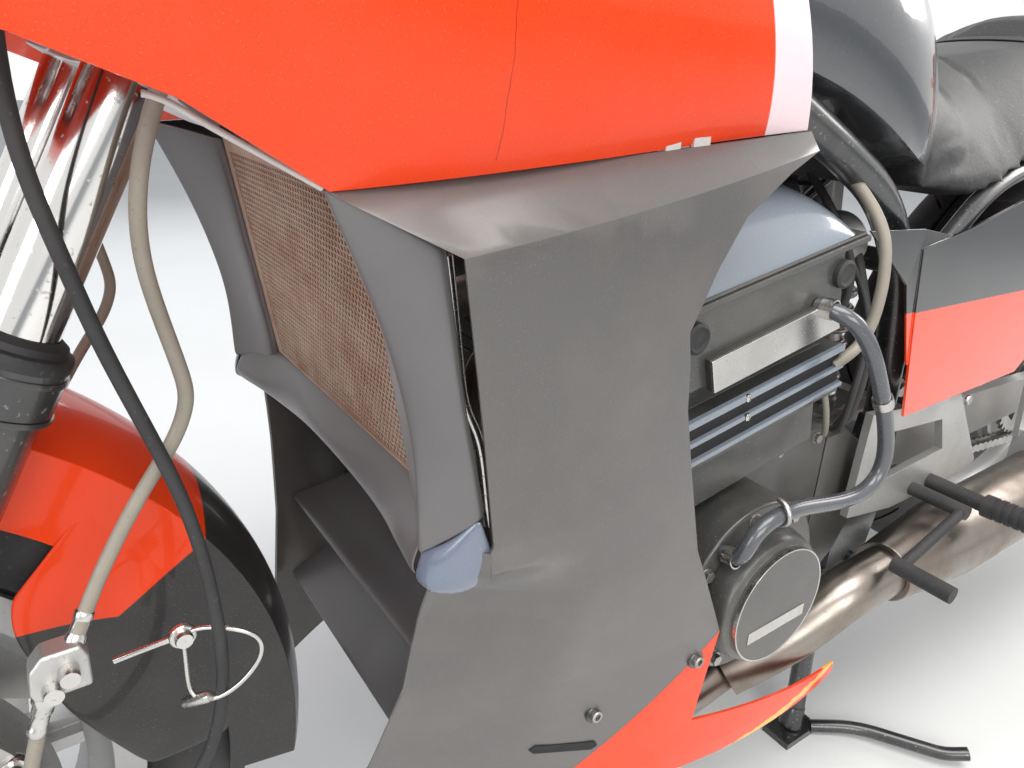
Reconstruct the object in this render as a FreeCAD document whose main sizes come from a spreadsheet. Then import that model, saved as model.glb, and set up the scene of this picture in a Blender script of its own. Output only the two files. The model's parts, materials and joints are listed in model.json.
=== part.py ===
import FreeCAD, Part
import Sketcher
import math
import os
import re
from FreeCAD import Placement, Rotation, Vector

# A sport motorcycle standing upright on its centre stand.
# Lengths are millimetres and angles degrees. Stations (x) are measured forward from the rear axle,
# y to the rider's left and z up from the ground; every piece is then placed so that the origin lies
# on the ground below the middle of the motorcycle's length.

DIMENSIONS = (
    # alias, value
    ("wheelbase", 1495),
    ("middle_station", 697),
    ("rake", 29),
    ("fork_offset", 45),
    ("fork_half_spread", 98.5),
    ("fork_tube_radius", 19),
    ("slider_radius", 26),
    ("slider_length", 377),
    ("lower_clamp_reach", 528),
    ("upper_clamp_reach", 765),
    ("clamp_thickness", 34),
    ("front_tyre_radius", 299),
    ("front_tyre_half_width", 59),
    ("front_sidewall", 96),
    ("front_rim_half_width", 33),
    ("rear_tyre_radius", 332),
    ("rear_tyre_half_width", 65),
    ("rear_sidewall", 103),
    ("rear_rim_half_width", 39),
    ("rear_tyre_lift", 20),
    ("rim_depth", 30),
    ("spoke_count", 6),
    ("spoke_width", 30),
    ("front_hub_half_width", 60),
    ("front_hub_radius", 50),
    ("rear_hub_half_width", 78),
    ("rear_hub_radius", 62),
    ("front_axle_radius", 8.5),
    ("rear_axle_radius", 10),
    ("running_gap", 0.3),
    ("disc_thickness", 5),
    ("disc_track", 34),
    ("disc_bore_radius", 36),
    ("front_disc_radius", 140),
    ("rear_disc_radius", 130),
    ("chain_pitch", 15.875),
    ("rear_teeth", 41),
    ("front_teeth", 16),
    ("sprocket_thickness", 6),
    ("chain_half_height", 7.5),
    ("chain_inside_width", 10),
    ("chain_plate_thickness", 4),
    ("frame_tube_radius", 16),
    ("subframe_radius", 10),
    ("arm_inner", 104),
    ("arm_thickness", 17),
    ("pivot_bolt_radius", 12),
    ("stand_pin_radius", 8),
    ("panel_thickness", 3),
    ("engine_tilt", 10),
    ("crankcase_half_width", 150),
    ("cylinder_half_width", 178),
    ("head_half_width", 190),
    ("fin_count", 4),
    ("fin_pitch", 16),
    ("cover_face", 205),
    ("generator_cover_radius", 64),
    ("clutch_cover_radius", 80),
    ("radiator_half_width", 141),
    ("radiator_height", 204),
    ("radiator_depth", 26),
    ("radiator_lean", 9),
    ("silencer_radius", 46),
    ("header_radius", 19),
    ("bar_radius", 11),
    ("bar_bore_radius", 7),
    ("grip_radius", 17),
    ("spool_hole_radius", 4),
    ("lid_radius", 40),
)

document = FreeCAD.newDocument("sport_motorcycle")
sheet = document.addObject("Spreadsheet::Sheet", "Sizes")
for row, (alias, value) in enumerate(DIMENSIONS, start=1):
    sheet.set("A%d" % row, alias)
    sheet.set("B%d" % row, str(value))
    sheet.setAlias("B%d" % row, alias)
document.recompute()
NAMES = {alias for alias, _ in DIMENSIONS}


def size(formula):
    """The value of one of the sheet's names, or of a formula with several."""
    return float(sheet.evalExpression(str(formula)))


def bound(formula):
    """A formula with each of the sheet's names written in full, for setExpression."""
    return re.sub(r"[a-z_]+", lambda m: "Sizes." + m.group() if m.group() in NAMES else m.group(),
                  str(formula))


wheelbase = size("wheelbase")
gap = size("running_gap")
wall = size("panel_thickness")
to_middle = Placement(Vector(-size("middle_station"), 0, 0), Rotation())
lateral = Vector(0, 1, 0)
pieces = []

# Directions of the fork: up along its tubes, and square to them towards the front
rake = math.radians(size("rake"))
fork_up = Vector(-math.sin(rake), 0, math.cos(rake))
fork_ahead = Vector(math.cos(rake), 0, math.sin(rake))
front_axle = Vector(wheelbase, 0, size("front_tyre_radius"))
rear_axle = Vector(0, 0, size("rear_tyre_radius + rear_tyre_lift"))


# Finished sub-parts
def keep(label, shape):
    """Adds a shape made with Part's functions as a sub-part of its own."""
    feature = document.addObject("Part::Feature", label)
    feature.Label = label
    feature.Shape = shape
    feature.Placement = to_middle
    pieces.append(feature)
    return feature


def finish(label, item):
    """Makes a bound body or boolean a sub-part, moved to the motorcycle's middle."""
    item.Label = label
    item.Placement = to_middle * item.Placement
    pieces.append(item)
    return item


# Bound features. A body's own Y axis is the direction that its outlines are extruded or turned about.
def along(origin, direction):
    """A placement whose Y axis points in a direction from an origin."""
    return Placement(origin, Rotation(lateral, direction))


def new_body(label, placement):
    body = document.addObject("PartDesign::Body", label)
    body.Label = label
    body.Placement = placement
    return body


def new_sketch(body, plane, shift="0"):
    sketch = body.newObject("Sketcher::SketchObject", "outline")
    support = [item for item in body.Origin.OriginFeatures if item.Role == plane][0]
    sketch.AttachmentSupport = [(support, "")]
    sketch.MapMode = "FlatFace"
    sketch.setExpression("AttachmentOffset.Base.z", bound(shift))
    return sketch


def place_point(sketch, edge, end, corner):
    for kind, formula in zip(("DistanceX", "DistanceY"), corner):
        index = sketch.addConstraint(Sketcher.Constraint(kind, -1, 1, edge, end, size(formula)))
        sketch.setExpression("Constraints[%d]" % index, bound(formula))


def draw_outline(sketch, corners):
    """A closed outline; each corner is a pair of formulas."""
    places = [Vector(size(a), size(b), 0) for a, b in corners]
    count = len(places)
    first = sketch.GeometryCount
    for i in range(count):
        sketch.addGeometry(Part.LineSegment(places[i], places[(i + 1) % count]), False)
    for i in range(count):
        sketch.addConstraint(Sketcher.Constraint("Coincident", first + i, 2, first + (i + 1) % count, 1))
    for i, corner in enumerate(corners):
        place_point(sketch, first + i, 1, corner)


def draw_circle(sketch, centre, radius):
    place = Vector(size(centre[0]), size(centre[1]), 0)
    edge = sketch.addGeometry(Part.Circle(place, Vector(0, 0, 1), size(radius)), False)
    place_point(sketch, edge, 3, centre)
    index = sketch.addConstraint(Sketcher.Constraint("Radius", edge, size(radius)))
    sketch.setExpression("Constraints[%d]" % index, bound(radius))


def draw_all(sketch, outlines):
    """Outlines are lists of corners, or circles as (x, z, radius)."""
    for outline in outlines:
        if isinstance(outline, tuple):
            draw_circle(sketch, outline[:2], outline[2])
        else:
            draw_outline(sketch, outline)


def solid_between(body, outlines, low, high):
    """Outlines in the X-Z plane, filled from one lateral place to another."""
    sketch = new_sketch(body, "XZ_Plane", "-(%s)" % high)
    draw_all(sketch, outlines)
    feature = body.newObject("PartDesign::Pad", "pad")
    feature.Profile = sketch
    feature.setExpression("Length", bound("(%s) - (%s)" % (high, low)))
    return feature


def cut_between(body, outlines, low, high):
    sketch = new_sketch(body, "XZ_Plane", "-(%s)" % low)
    draw_all(sketch, outlines)
    feature = body.newObject("PartDesign::Pocket", "pocket")
    feature.Profile = sketch
    feature.setExpression("Length", bound("(%s) - (%s)" % (high, low)))
    return feature


def turned(body, corners):
    """A profile of (radius, lateral place) turned about the body's Y axis."""
    sketch = new_sketch(body, "XY_Plane")
    draw_outline(sketch, corners)
    feature = body.newObject("PartDesign::Revolution", "turned")
    feature.Profile = sketch
    feature.ReferenceAxis = (sketch, ["V_Axis"])
    feature.Angle = 360
    return feature


def repeated(body, features, count):
    """Features repeated round the body's Y axis."""
    pattern = body.newObject("PartDesign::PolarPattern", "pattern")
    pattern.Originals = features
    pattern.Axis = ([item for item in body.Origin.OriginFeatures if item.Role == "Y_Axis"][0], [""])
    pattern.Angle = 360
    pattern.setExpression("Occurrences", bound(count))
    body.Tip = pattern
    return pattern


def cylinder(label, start, end, radius):
    item = document.addObject("Part::Cylinder", label)
    item.Label = label
    item.setExpression("Radius", bound(radius))
    item.Height = (end - start).Length
    item.Placement = Placement(start, Rotation(Vector(0, 0, 1), end - start))
    return item


def mirror_of(item):
    mirror = document.addObject("Part::Mirroring", "mirrored")
    mirror.Source = item
    mirror.Base = Vector(0, 0, 0)
    mirror.Normal = lateral
    return mirror


def together(items):
    compound = document.addObject("Part::Compound", "together")
    compound.Links = items
    return compound


def joined(items):
    fusion = document.addObject("Part::MultiFuse", "joined")
    fusion.Shapes = items
    return fusion


def less(base, tool):
    difference = document.addObject("Part::Cut", "less")
    difference.Base = base
    difference.Tool = tool
    return difference


# Plain shapes
def mirrored(shape):
    return shape.mirror(Vector(0, 0, 0), lateral)


def both_sides(shape):
    return Part.makeCompound([shape, mirrored(shape)])


def on_fork(reach, side=0.0, ahead=0.0):
    """A point on the fork's axis at a reach above the axle, moved sideways and ahead of it."""
    return front_axle + fork_up * reach + lateral * side + fork_ahead * ahead


def behind(distance, y=0.0, z=0.0):
    """A point a distance behind the front axle."""
    return Vector(wheelbase - distance, y, z)


def rod(start, end, radius):
    return Part.makeCylinder(radius, (end - start).Length, start, end - start)


def tapered(start, end, radius_start, radius_end):
    return Part.makeCone(radius_start, radius_end, (end - start).Length, start, end - start)


def block(low, high):
    return Part.makeBox(high[0] - low[0], high[1] - low[1], high[2] - low[2], Vector(*low))


def ring(outer, inner, start, end):
    return rod(start, end, outer).cut(rod(start, end, inner))


def closed_wire(points):
    return Part.makePolygon(list(points) + [points[0]])


def side_plate(outline, inside, outside):
    """A plate whose outline is a list of (station, height), between two values of y."""
    low, high = min(inside, outside), max(inside, outside)
    face = Part.Face(closed_wire([Vector(x, low, z) for x, z in outline]))
    return face.extrude(Vector(0, high - low, 0))


def route(points, share=0.45):
    """A path of straight runs joined by tangent arcs as large as the runs allow."""
    edges = []
    last = points[0]
    for before, corner, after in zip(points, points[1:], points[2:]):
        back = (before - corner).normalize()
        on = (after - corner).normalize()
        trim = share * min((before - corner).Length, (after - corner).Length)
        half_inside = back.getAngle(on) / 2
        radius = trim * math.tan(half_inside)
        start, end = corner + back * trim, corner + on * trim
        inwards = (back + on).normalize()
        middle = corner + inwards * (trim / math.cos(half_inside) - radius)
        edges.append(Part.LineSegment(last, start).toShape())
        edges.append(Part.Arc(start, middle, end).toShape())
        last = end
    edges.append(Part.LineSegment(last, points[-1]).toShape())
    return Part.Wire(edges)


def pipe(points, radius, share=0.45):
    points = [Vector(*p) for p in points]
    if len(points) == 2:
        return rod(points[0], points[1], radius)
    section = Part.Wire(Part.makeCircle(radius, points[0], points[1] - points[0]))
    return route(points, share).makePipeShell([section], True, False)


def loft(sections, ruled=True):
    return Part.makeLoft([closed_wire([Vector(*p) for p in s]) for s in sections], True, ruled)


def full_section(station, half):
    """A closed cross-section at a station from its left half, (y, z) from the bottom to the top."""
    left = [(station, y, z) for y, z in half]
    right = [(station, -y, z) for y, z in reversed(half) if y > 0]
    return left + right


def domed_section(station, half):
    """A section from its left half: base, foot of the side, middle of the side, shoulder, top.

    The sides and the top are arcs, and the rest is straight.
    """
    base, foot, side, shoulder, top = [Vector(station, y, z) for y, z in half]
    right = [Vector(p.x, -p.y, p.z) for p in (base, foot, side, shoulder)]
    return Part.Wire([
        Part.LineSegment(right[0], base).toShape(),
        Part.LineSegment(base, foot).toShape(),
        Part.Arc(foot, side, shoulder).toShape(),
        Part.Arc(shoulder, top, right[3]).toShape(),
        Part.Arc(right[3], right[2], right[1]).toShape(),
        Part.LineSegment(right[1], right[0]).toShape(),
    ])


def domed_loft(table, ruled=False, inset=0.0, shift=0.0):
    """A loft through domed sections, whose points may be moved inwards by an inset."""
    wires = []
    for station, half in table:
        base, foot, side, shoulder, top = half
        moved = [(base[0] - inset, base[1] + inset), (foot[0] - inset, foot[1] + inset),
                 (side[0] - inset, side[1]), (shoulder[0] - inset * 0.8, shoulder[1] - inset * 0.8),
                 (0, top[1] - inset)]
        wires.append(domed_section(station + shift, moved))
    return Part.makeLoft(wires, True, ruled)


# Tyres
def tyre(label, centre, name):
    """A tyre's half profile, as shares of its depth and half width, turned round its axle."""
    body = new_body(label, Placement(centre, Rotation()))
    bead = "(%s_tyre_radius - %s_sidewall)" % (name, name)
    half = [(bead, "%s_rim_half_width - 1" % name), (bead + " + 10", "%s_rim_half_width - 0.5" % name)]
    for depth, width in ((0.24, 0.88), (0.54, 1), (0.8, 0.85), (0.95, 0.45), (1, 0.1)):
        half.append(("%s + %s * %s_sidewall" % (bead, depth, name), "%s * %s_tyre_half_width" % (width, name)))
    turned(body, half + [(radius, "-(%s)" % place) for radius, place in reversed(half)])
    finish(label, body)


tyre("front_tyre", front_axle, "front")
tyre("rear_tyre", rear_axle, "rear")


# Cast wheels: a rim, a hub bored for its axle, and ribbed spokes between them
def cast_wheel(label, centre, name):
    body = new_body(label, Placement(centre, Rotation()))
    bead = "(%s_tyre_radius - %s_sidewall)" % (name, name)
    seat = bead + " - running_gap"
    inner = seat + " - rim_depth"
    edge = "%s_rim_half_width" % name
    half = [(seat, edge), (bead + " + 8", edge), (bead + " + 8", edge + " + 5"), (seat + " - 14", edge + " + 5"),
            (seat + " - 18", edge + " - 2"), (inner, edge + " - 12")]
    turned(body, half + [(radius, "-(%s)" % place) for radius, place in reversed(half)])
    hub, hub_half = "%s_hub_radius" % name, "%s_hub_half_width" % name
    bore = "%s_axle_radius + running_gap" % name
    waist = hub + " - 12"
    turned(body, [(bore, "-" + hub_half), (hub, "-" + hub_half), (hub, "-(%s) + 12" % hub_half),
                  (waist, "-(%s) + 22" % hub_half), (waist, hub_half + " - 22"), (hub, hub_half + " - 12"),
                  (hub, hub_half), (bore, hub_half)])
    root, tip = waist + " - 6", inner + " + 6"
    web = solid_between(body, [[(root, "-spoke_width * 0.8"), (tip, "-spoke_width * 0.42"),
                                (tip, "spoke_width * 0.42"), (root, "spoke_width * 0.8")]], "-9", "9")
    rib = solid_between(body, [[(root, "-7"), (tip, "-5"), (tip, "5"), (root, "7")]], "-20", "20")
    repeated(body, [web, rib], "spoke_count")
    finish(label, body)


cast_wheel("front_wheel_casting", front_axle, "front")
cast_wheel("rear_wheel_casting", rear_axle, "rear")


# Brake discs: a drilled track carried by five arms, seated on the hub's face
def brake_disc(label, radius):
    body = new_body(label, Placement())
    half = "disc_thickness / 2"
    track = "%s - disc_track" % radius
    solid_between(body, [("0", "0", radius), ("0", "0", track)], "-" + half, half)
    solid_between(body, [("0", "0", "disc_bore_radius + 16"), ("0", "0", "disc_bore_radius")],
                  "-" + half, half)
    arm = solid_between(body, [[("disc_bore_radius + 12", "-13"), (track + " + 3", "-8"),
                                (track + " + 3", "8"), ("disc_bore_radius + 12", "13")]], "-" + half, half)
    repeated(body, [arm], "5")
    near = cut_between(body, [(track + " + 9", "0", "4"), ("(%s - 8) * 0.974" % radius,
                                                          "(%s - 8) * 0.226" % radius, "4")],
                       "-disc_thickness", "disc_thickness")
    repeated(body, [near], "12")
    return body


front_disc = brake_disc("front disc", "front_disc_radius")
disc_seat = size("front_hub_half_width + running_gap")
front_disc.Placement = Placement(front_axle + lateral * (disc_seat + size("disc_thickness / 2")), Rotation())
finish("front_discs", together([front_disc, mirror_of(front_disc)]))
rear_disc_seat = -size("rear_hub_half_width + running_gap")
rear_disc = brake_disc("rear disc", "rear_disc_radius")
rear_disc.Placement = Placement(rear_axle + lateral * (rear_disc_seat - size("disc_thickness / 2")), Rotation())
finish("rear_disc", rear_disc)

# Rear sprocket: a toothed rim on arms, in line with the chain
chain_line = size("rear_hub_half_width + running_gap + 10")
rear_pitch_radius = "(chain_pitch / (2 * sin(180 / rear_teeth)))"
front_pitch_radius = "(chain_pitch / (2 * sin(180 / front_teeth)))"


def toothed_rim(body, pitch_radius, teeth, half_thickness):
    """A rim whose teeth end short of the chain's pins."""
    rim = "%s - chain_half_height - 1.5" % pitch_radius
    tip = "%s - 3.5" % pitch_radius
    tooth = solid_between(body, [[(rim + " - 2", "-4.4"), (rim, "-4.4"), (tip, "-1.8"), (tip, "1.8"),
                                  (rim, "4.4"), (rim + " - 2", "4.4")]], "-" + half_thickness, half_thickness)
    repeated(body, [tooth], teeth)


sprocket = new_body("rear sprocket", Placement(rear_axle + lateral * chain_line, Rotation()))
sprocket_rim = rear_pitch_radius + " - chain_half_height - 1.5"
half_sprocket = "(sprocket_thickness / 2)"
solid_between(sprocket, [("0", "0", sprocket_rim), ("0", "0", sprocket_rim + " - 16")],
              "-" + half_sprocket, half_sprocket)
solid_between(sprocket, [("0", "0", "rear_hub_radius"), ("0", "0", "rear_hub_radius - 14")], "-10", half_sprocket)
sprocket_arm = solid_between(sprocket, [[("rear_hub_radius - 6", "-14"), (sprocket_rim + " - 13", "-9"),
                                         (sprocket_rim + " - 13", "9"), ("rear_hub_radius - 6", "14")]],
                             "-" + half_sprocket, half_sprocket)
repeated(sprocket, [sprocket_arm], "5")
toothed_rim(sprocket, rear_pitch_radius, "rear_teeth", half_sprocket)
finish("rear_sprocket", sprocket)

# Front fork
half_spread = size("fork_half_spread")
tube_radius = size("fork_tube_radius")
slider_radius = size("slider_radius")
clamp_low = size("lower_clamp_reach")
clamp_high = size("upper_clamp_reach")
clamp_thick = size("clamp_thickness")
slider_top = size("slider_length")
slider = new_body("fork slider", along(on_fork(0, half_spread), fork_up))
turned(slider, [("0", "-14"), ("slider_radius", "-14"), ("slider_radius", "slider_length - 30"), ("slider_radius + 3", "slider_length - 26"),
                ("slider_radius + 3", "slider_length"), ("fork_tube_radius + running_gap", "slider_length"),
                ("fork_tube_radius + running_gap", "26"), ("0", "26")])
axle_low = front_axle + lateral * (half_spread - 26)
axle_high = front_axle + lateral * (half_spread + 28)
axle_lug = cylinder("axle lug", axle_low, axle_high, "slider_radius - 2")
axle_bore = cylinder("axle bore", front_axle - lateral * 200, front_axle + lateral * 200,
                     "front_axle_radius + running_gap")
left_slider = less(joined([slider, axle_lug]), axle_bore)
front_spindle = cylinder("front spindle", front_axle - lateral * (half_spread + 36),
                         front_axle + lateral * (half_spread + 36), "front_axle_radius")
finish("fork_sliders", together([left_slider, mirror_of(left_slider), front_spindle]))
fork_tube = cylinder("fork tube", on_fork(26.5, half_spread), on_fork(clamp_high + 40, half_spread),
                     "fork_tube_radius")
finish("fork_tubes", together([fork_tube, mirror_of(fork_tube)]))

# Triple clamps: webs round both tubes, square to the fork, joined by the steering stem
clamps = new_body("triple clamps", Placement(front_axle, Rotation(fork_ahead, fork_up,
                                                                  fork_ahead.cross(fork_up), "YXZ")))
clamp_outline = [("18", "fork_half_spread + 30"), ("-20", "fork_half_spread + 30"), ("-66", "34"),
                 ("-66", "-34"), ("-20", "-fork_half_spread - 30"), ("18", "-fork_half_spread - 30"),
                 ("24", "-fork_half_spread"), ("10", "-40"), ("10", "40"), ("24", "fork_half_spread")]
for low, high in (("lower_clamp_reach", "lower_clamp_reach + clamp_thickness"),
                  ("upper_clamp_reach - 6", "upper_clamp_reach + 20")):
    solid_between(clamps, [clamp_outline], low, high)
    solid_between(clamps, [("0", "fork_half_spread", "fork_tube_radius + 11"),
                           ("0", "-fork_half_spread", "fork_tube_radius + 11")], low, high)
stem_radius = 15
solid_between(clamps, [("-fork_offset", "0", str(stem_radius))], "lower_clamp_reach + 4",
              "upper_clamp_reach + 26")
cut_between(clamps, [("0", "fork_half_spread", "fork_tube_radius + running_gap"),
                     ("0", "-fork_half_spread", "fork_tube_radius + running_gap")],
            "lower_clamp_reach - 1", "upper_clamp_reach + 30")
finish("triple_clamps", clamps)

# Front fender: a crowned section turned round the front axle
fender_inner = size("front_tyre_radius") + 14
fender_half = half_spread - slider_radius - 6
fender_skirt = 48


def fender_wire(inset):
    edge = fender_half - inset
    skirt, shoulder, crown = fender_inner - fender_skirt, fender_inner + 4 - inset, fender_inner + 22 - inset
    return [Vector(skirt, edge, 0), Vector(shoulder, edge, 0), Vector(crown, 0, 0), Vector(shoulder, -edge, 0),
            Vector(skirt, -edge, 0)]


def fender_part(first, last):
    """The fender between two angles, counted up from straight ahead."""
    outer, inner = fender_wire(0), fender_wire(wall)
    wire = Part.Wire([
        Part.LineSegment(outer[0], outer[1]).toShape(), Part.Arc(outer[1], outer[2], outer[3]).toShape(),
        Part.LineSegment(outer[3], outer[4]).toShape(), Part.LineSegment(outer[4], inner[4]).toShape(),
        Part.LineSegment(inner[4], inner[3]).toShape(), Part.Arc(inner[3], inner[2], inner[1]).toShape(),
        Part.LineSegment(inner[1], inner[0]).toShape(), Part.LineSegment(inner[0], outer[0]).toShape()])
    face = Part.Face(wire)
    face.translate(front_axle)
    face.rotate(front_axle, lateral, -first)
    return face.revolve(front_axle, lateral, -(last - first))


fender_boss_reach = fender_inner - fender_skirt / 2 - 7
fender_boss = rod(on_fork(fender_boss_reach, fender_half - 2),
                  on_fork(fender_boss_reach, half_spread - slider_radius - gap), 10)
keep("front_fender", fender_part(38, 190).fuse([fender_boss, mirrored(fender_boss)]))

# Frame: steering head, two rails, pivot plates and cross tubes
frame_radius = size("frame_tube_radius")
head_low = on_fork(clamp_low + clamp_thick + 4, 0, -size("fork_offset"))
head_high = on_fork(clamp_high - 10, 0, -size("fork_offset"))


def on_head(share, side=0.0):
    return head_low + (head_high - head_low) * share + lateral * side


head = ring(30, stem_radius + gap, head_low, head_high)
rail_points = [on_head(0.69, 24), behind(515, 105, 840), (860, 150, 785), (746, 160, 726), (640, 152, 676),
               (560, 140, 600), (522, 132, 500), (508, 128, 400)]
low_rail_points = [on_head(0.24, 24), behind(435, 80, 782), behind(525, 124, 780), (900, 134, 800)]
pivot = Vector(505, 0, 360)
stand_pivot = Vector(512, 0, 228)
rail = pipe(rail_points, frame_radius)
rail_low = pipe(low_rail_points, frame_radius - 4)
pivot_plate = side_plate([(475, 420), (540, 425), (560, 330), (560, 205), (490, 205), (470, 300)], 122, 136)
stand_lug = side_plate([(540, 240), (596, 214), (596, 182), (560, 182), (540, 206)], 122, 136)
half_frame = rail.fuse([rail_low, pivot_plate, stand_lug])
cross_low = rod(Vector(545, -130, 250), Vector(545, 130, 250), 11)
cross_high = rod(Vector(560, -146, 600), Vector(560, 146, 600), 12)
shock_shelf = block((436, -20, 590), (560, 20, 606))
frame_shape = head.fuse([half_frame, mirrored(half_frame), cross_low, cross_high, shock_shelf])
stem_bore = rod(head_low - fork_up * 30, head_high + fork_up * 30, stem_radius + gap)
pivot_bore = rod(pivot - lateral * 200, pivot + lateral * 200, size("pivot_bolt_radius") + gap)
stand_bore = rod(stand_pivot - lateral * 200, stand_pivot + lateral * 200, size("stand_pin_radius") + gap)
frame_shape = frame_shape.cut(Part.makeCompound([stem_bore, pivot_bore, stand_bore]))
stand_pins = [rod(stand_pivot + lateral * 92 * s, stand_pivot + lateral * 140 * s, size("stand_pin_radius"))
              for s in (1, -1)]
keep("frame", Part.makeCompound([frame_shape] + stand_pins))

# Swingarm: two arms, a brace and the pivot tube, with its bolt, the rear spindle and the chain guard
arm_outer = "(arm_inner + arm_thickness)"
swingarm = new_body("swingarm beam", Placement())
axle_height = "rear_tyre_radius + rear_tyre_lift"
solid_between(swingarm, [[("505", "338"), ("505", "382"), ("380", "394"), ("40", axle_height + " + 24"),
                          ("0", axle_height + " + 30"), ("-34", axle_height + " + 20"),
                          ("-46", axle_height), ("-34", axle_height + " - 20"),
                          ("0", axle_height + " - 30"), ("40", axle_height + " - 24"), ("380", "320")]],
              "-" + arm_outer, arm_outer)
cut_between(swingarm, [[("-80", "200"), ("600", "200"), ("600", "500"), ("-80", "500")]], "-arm_inner", "arm_inner")
solid_between(swingarm, [[("382", "330"), ("404", "330"), ("404", "386"), ("382", "386")]],
              "-arm_inner - 1", "arm_inner + 1")
solid_between(swingarm, [(str(pivot.x), str(pivot.z), "pivot_bolt_radius * 2")], "-" + arm_outer, arm_outer)
solid_between(swingarm, [[("403", "322"), ("486", "340"), ("500", "345"), ("403", "345")]], "-16", "16")
cut_between(swingarm, [(str(pivot.x), str(pivot.z), "pivot_bolt_radius + running_gap"),
                       ("0", axle_height, "rear_axle_radius + running_gap"),
                       ("96", axle_height, "spool_hole_radius")], "-200", "200")
pivot_bolt = cylinder("pivot bolt", pivot - lateral * 145, pivot + lateral * 145, "pivot_bolt_radius")
rear_spindle = cylinder("rear spindle", rear_axle - lateral * 134, rear_axle + lateral * 134, "rear_axle_radius")
finish("swingarm", together([swingarm, pivot_bolt, rear_spindle]))

# Engine, built in a frame that leans with its cylinders: (ahead, up) of the crankshaft
crank = Vector(800, 0, 345)
engine_place = Placement(crank, Rotation(lateral, size("engine_tilt")))
engine_up = engine_place.Rotation.multVec(Vector(0, 0, 1))
engine_ahead = engine_place.Rotation.multVec(Vector(1, 0, 0))


def on_engine(ahead, up, side=0.0):
    return crank + engine_ahead * ahead + engine_up * up + lateral * side


crankcase = new_body("engine_crankcase", Placement())
solid_between(crankcase, [[("566", "300"), ("590", "262"), ("935", "262"), ("940", "330"), ("900", "424"),
                           ("720", "450"), ("600", "440"), ("566", "380")]],
              "-crankcase_half_width", "crankcase_half_width")
solid_between(crankcase, [[("640", "264"), ("690", "206"), ("706", "192"), ("868", "192"), ("884", "206"),
                           ("925", "264")]], "-92", "92")
cut_between(crankcase, [[("490", "250"), ("640", "250"), ("640", "460"), ("490", "460")]], "70",
            "crankcase_half_width + 10")
solid_between(crankcase, [("805", "348", "generator_cover_radius + 20")], "crankcase_half_width - 10", "cover_face")
solid_between(crankcase, [("712", "352", "clutch_cover_radius + 4")], "-cover_face", "-crankcase_half_width + 10")
solid_between(crankcase, [("812", "348", "50")], "-cover_face", "-crankcase_half_width + 10")
finish("engine_crankcase", crankcase)

cylinders = new_body("engine_cylinders", engine_place)
solid_between(cylinders, [[("-104", "100"), ("80", "100"), ("80", "222"), ("-104", "222")]],
              "-cylinder_half_width", "cylinder_half_width")
fin = solid_between(cylinders, [[("-116", "152"), ("88", "152"), ("88", "166"), ("-116", "166")]],
                    "-head_half_width - 2", "head_half_width + 2")
fins = cylinders.newObject("PartDesign::LinearPattern", "fins")
fins.Originals = [fin]
fins.Direction = ([item for item in cylinders.Origin.OriginFeatures if item.Role == "Z_Axis"][0], [""])
fins.Occurrences = 3
fins.setExpression("Length", bound("fin_pitch * 2"))
cylinders.Tip = fins
solid_between(cylinders, [[("-112", "221"), ("86", "221"), ("86", "283"), ("-112", "283")]],
              "-head_half_width", "head_half_width")
finish("engine_cylinders", cylinders)

cam_cover = new_body("cam_cover", engine_place)
solid_between(cam_cover, [[("-136", "283.3"), ("82", "283.3"), ("84", "296"), ("-140", "296")]],
              "-head_half_width - 4", "head_half_width + 4")
solid_between(cam_cover, [[("-132", "295"), ("76", "295"), ("66", "326"), ("44", "342"), ("26", "349"),
                           ("-34", "351"), ("-86", "347"), ("-108", "334"), ("-122", "319")]],
              "-head_half_width + 12", "head_half_width - 12")
finish("cam_cover", cam_cover)

generator_cover = new_body("generator cover", Placement(Vector(805, size("cover_face + running_gap"), 348),
                                                        Rotation()))
turned(generator_cover, [("0", "0"), ("generator_cover_radius", "0"), ("generator_cover_radius", "7"),
                         ("generator_cover_radius - 4", "22"), ("generator_cover_radius - 9", "24"),
                         ("generator_cover_radius - 9", "31"), ("0", "31")])
turn_right = Rotation(Vector(1, 0, 0), 180)
clutch_cover = new_body("clutch cover", Placement(Vector(712, -size("cover_face + running_gap"), 352), turn_right))
turned(clutch_cover, [("0", "0"), ("clutch_cover_radius", "0"), ("clutch_cover_radius", "10"),
                      ("clutch_cover_radius - 6", "24"), ("clutch_cover_radius - 16", "30"), ("0", "30")])
pulser_cover = new_body("pulser cover", Placement(Vector(812, -size("cover_face + running_gap"), 348), turn_right))
turned(pulser_cover, [("0", "0"), ("44", "0"), ("44", "12"), ("38", "20"), ("0", "20")])
sprocket_cover = new_body("sprocket cover", Placement())
solid_between(sprocket_cover, [[("568", "300"), ("582", "276"), ("600", "262"), ("639.7", "262"),
                                ("639.7", "430"), ("604", "430"), ("578", "412"), ("568", "390")]],
              "112", "crankcase_half_width")
finish("engine_side_covers", together([generator_cover, joined([clutch_cover, pulser_cover]), sprocket_cover]))

# Carburettors behind the head, joined by a rail
carburettor_rows = (-120, -42, 42, 120)
carburettors = []
for y in carburettor_rows:
    carburettor = new_body("carburettor", along(on_engine(-112.3, 252, y), -engine_ahead))
    turned(carburettor, [("0", "0"), ("19", "0"), ("19", "26"), ("30", "30"), ("30", "70"), ("23", "76"),
                         ("27", "98"), ("20", "98"), ("16", "80"), ("0", "80")])
    carburettors.append(carburettor)
carburettor_rail = cylinder("carburettor rail", on_engine(-162, 252, carburettor_rows[0]),
                            on_engine(-162, 252, carburettor_rows[-1]), "8")
finish("carburettors", joined(carburettors + [carburettor_rail]))

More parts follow.
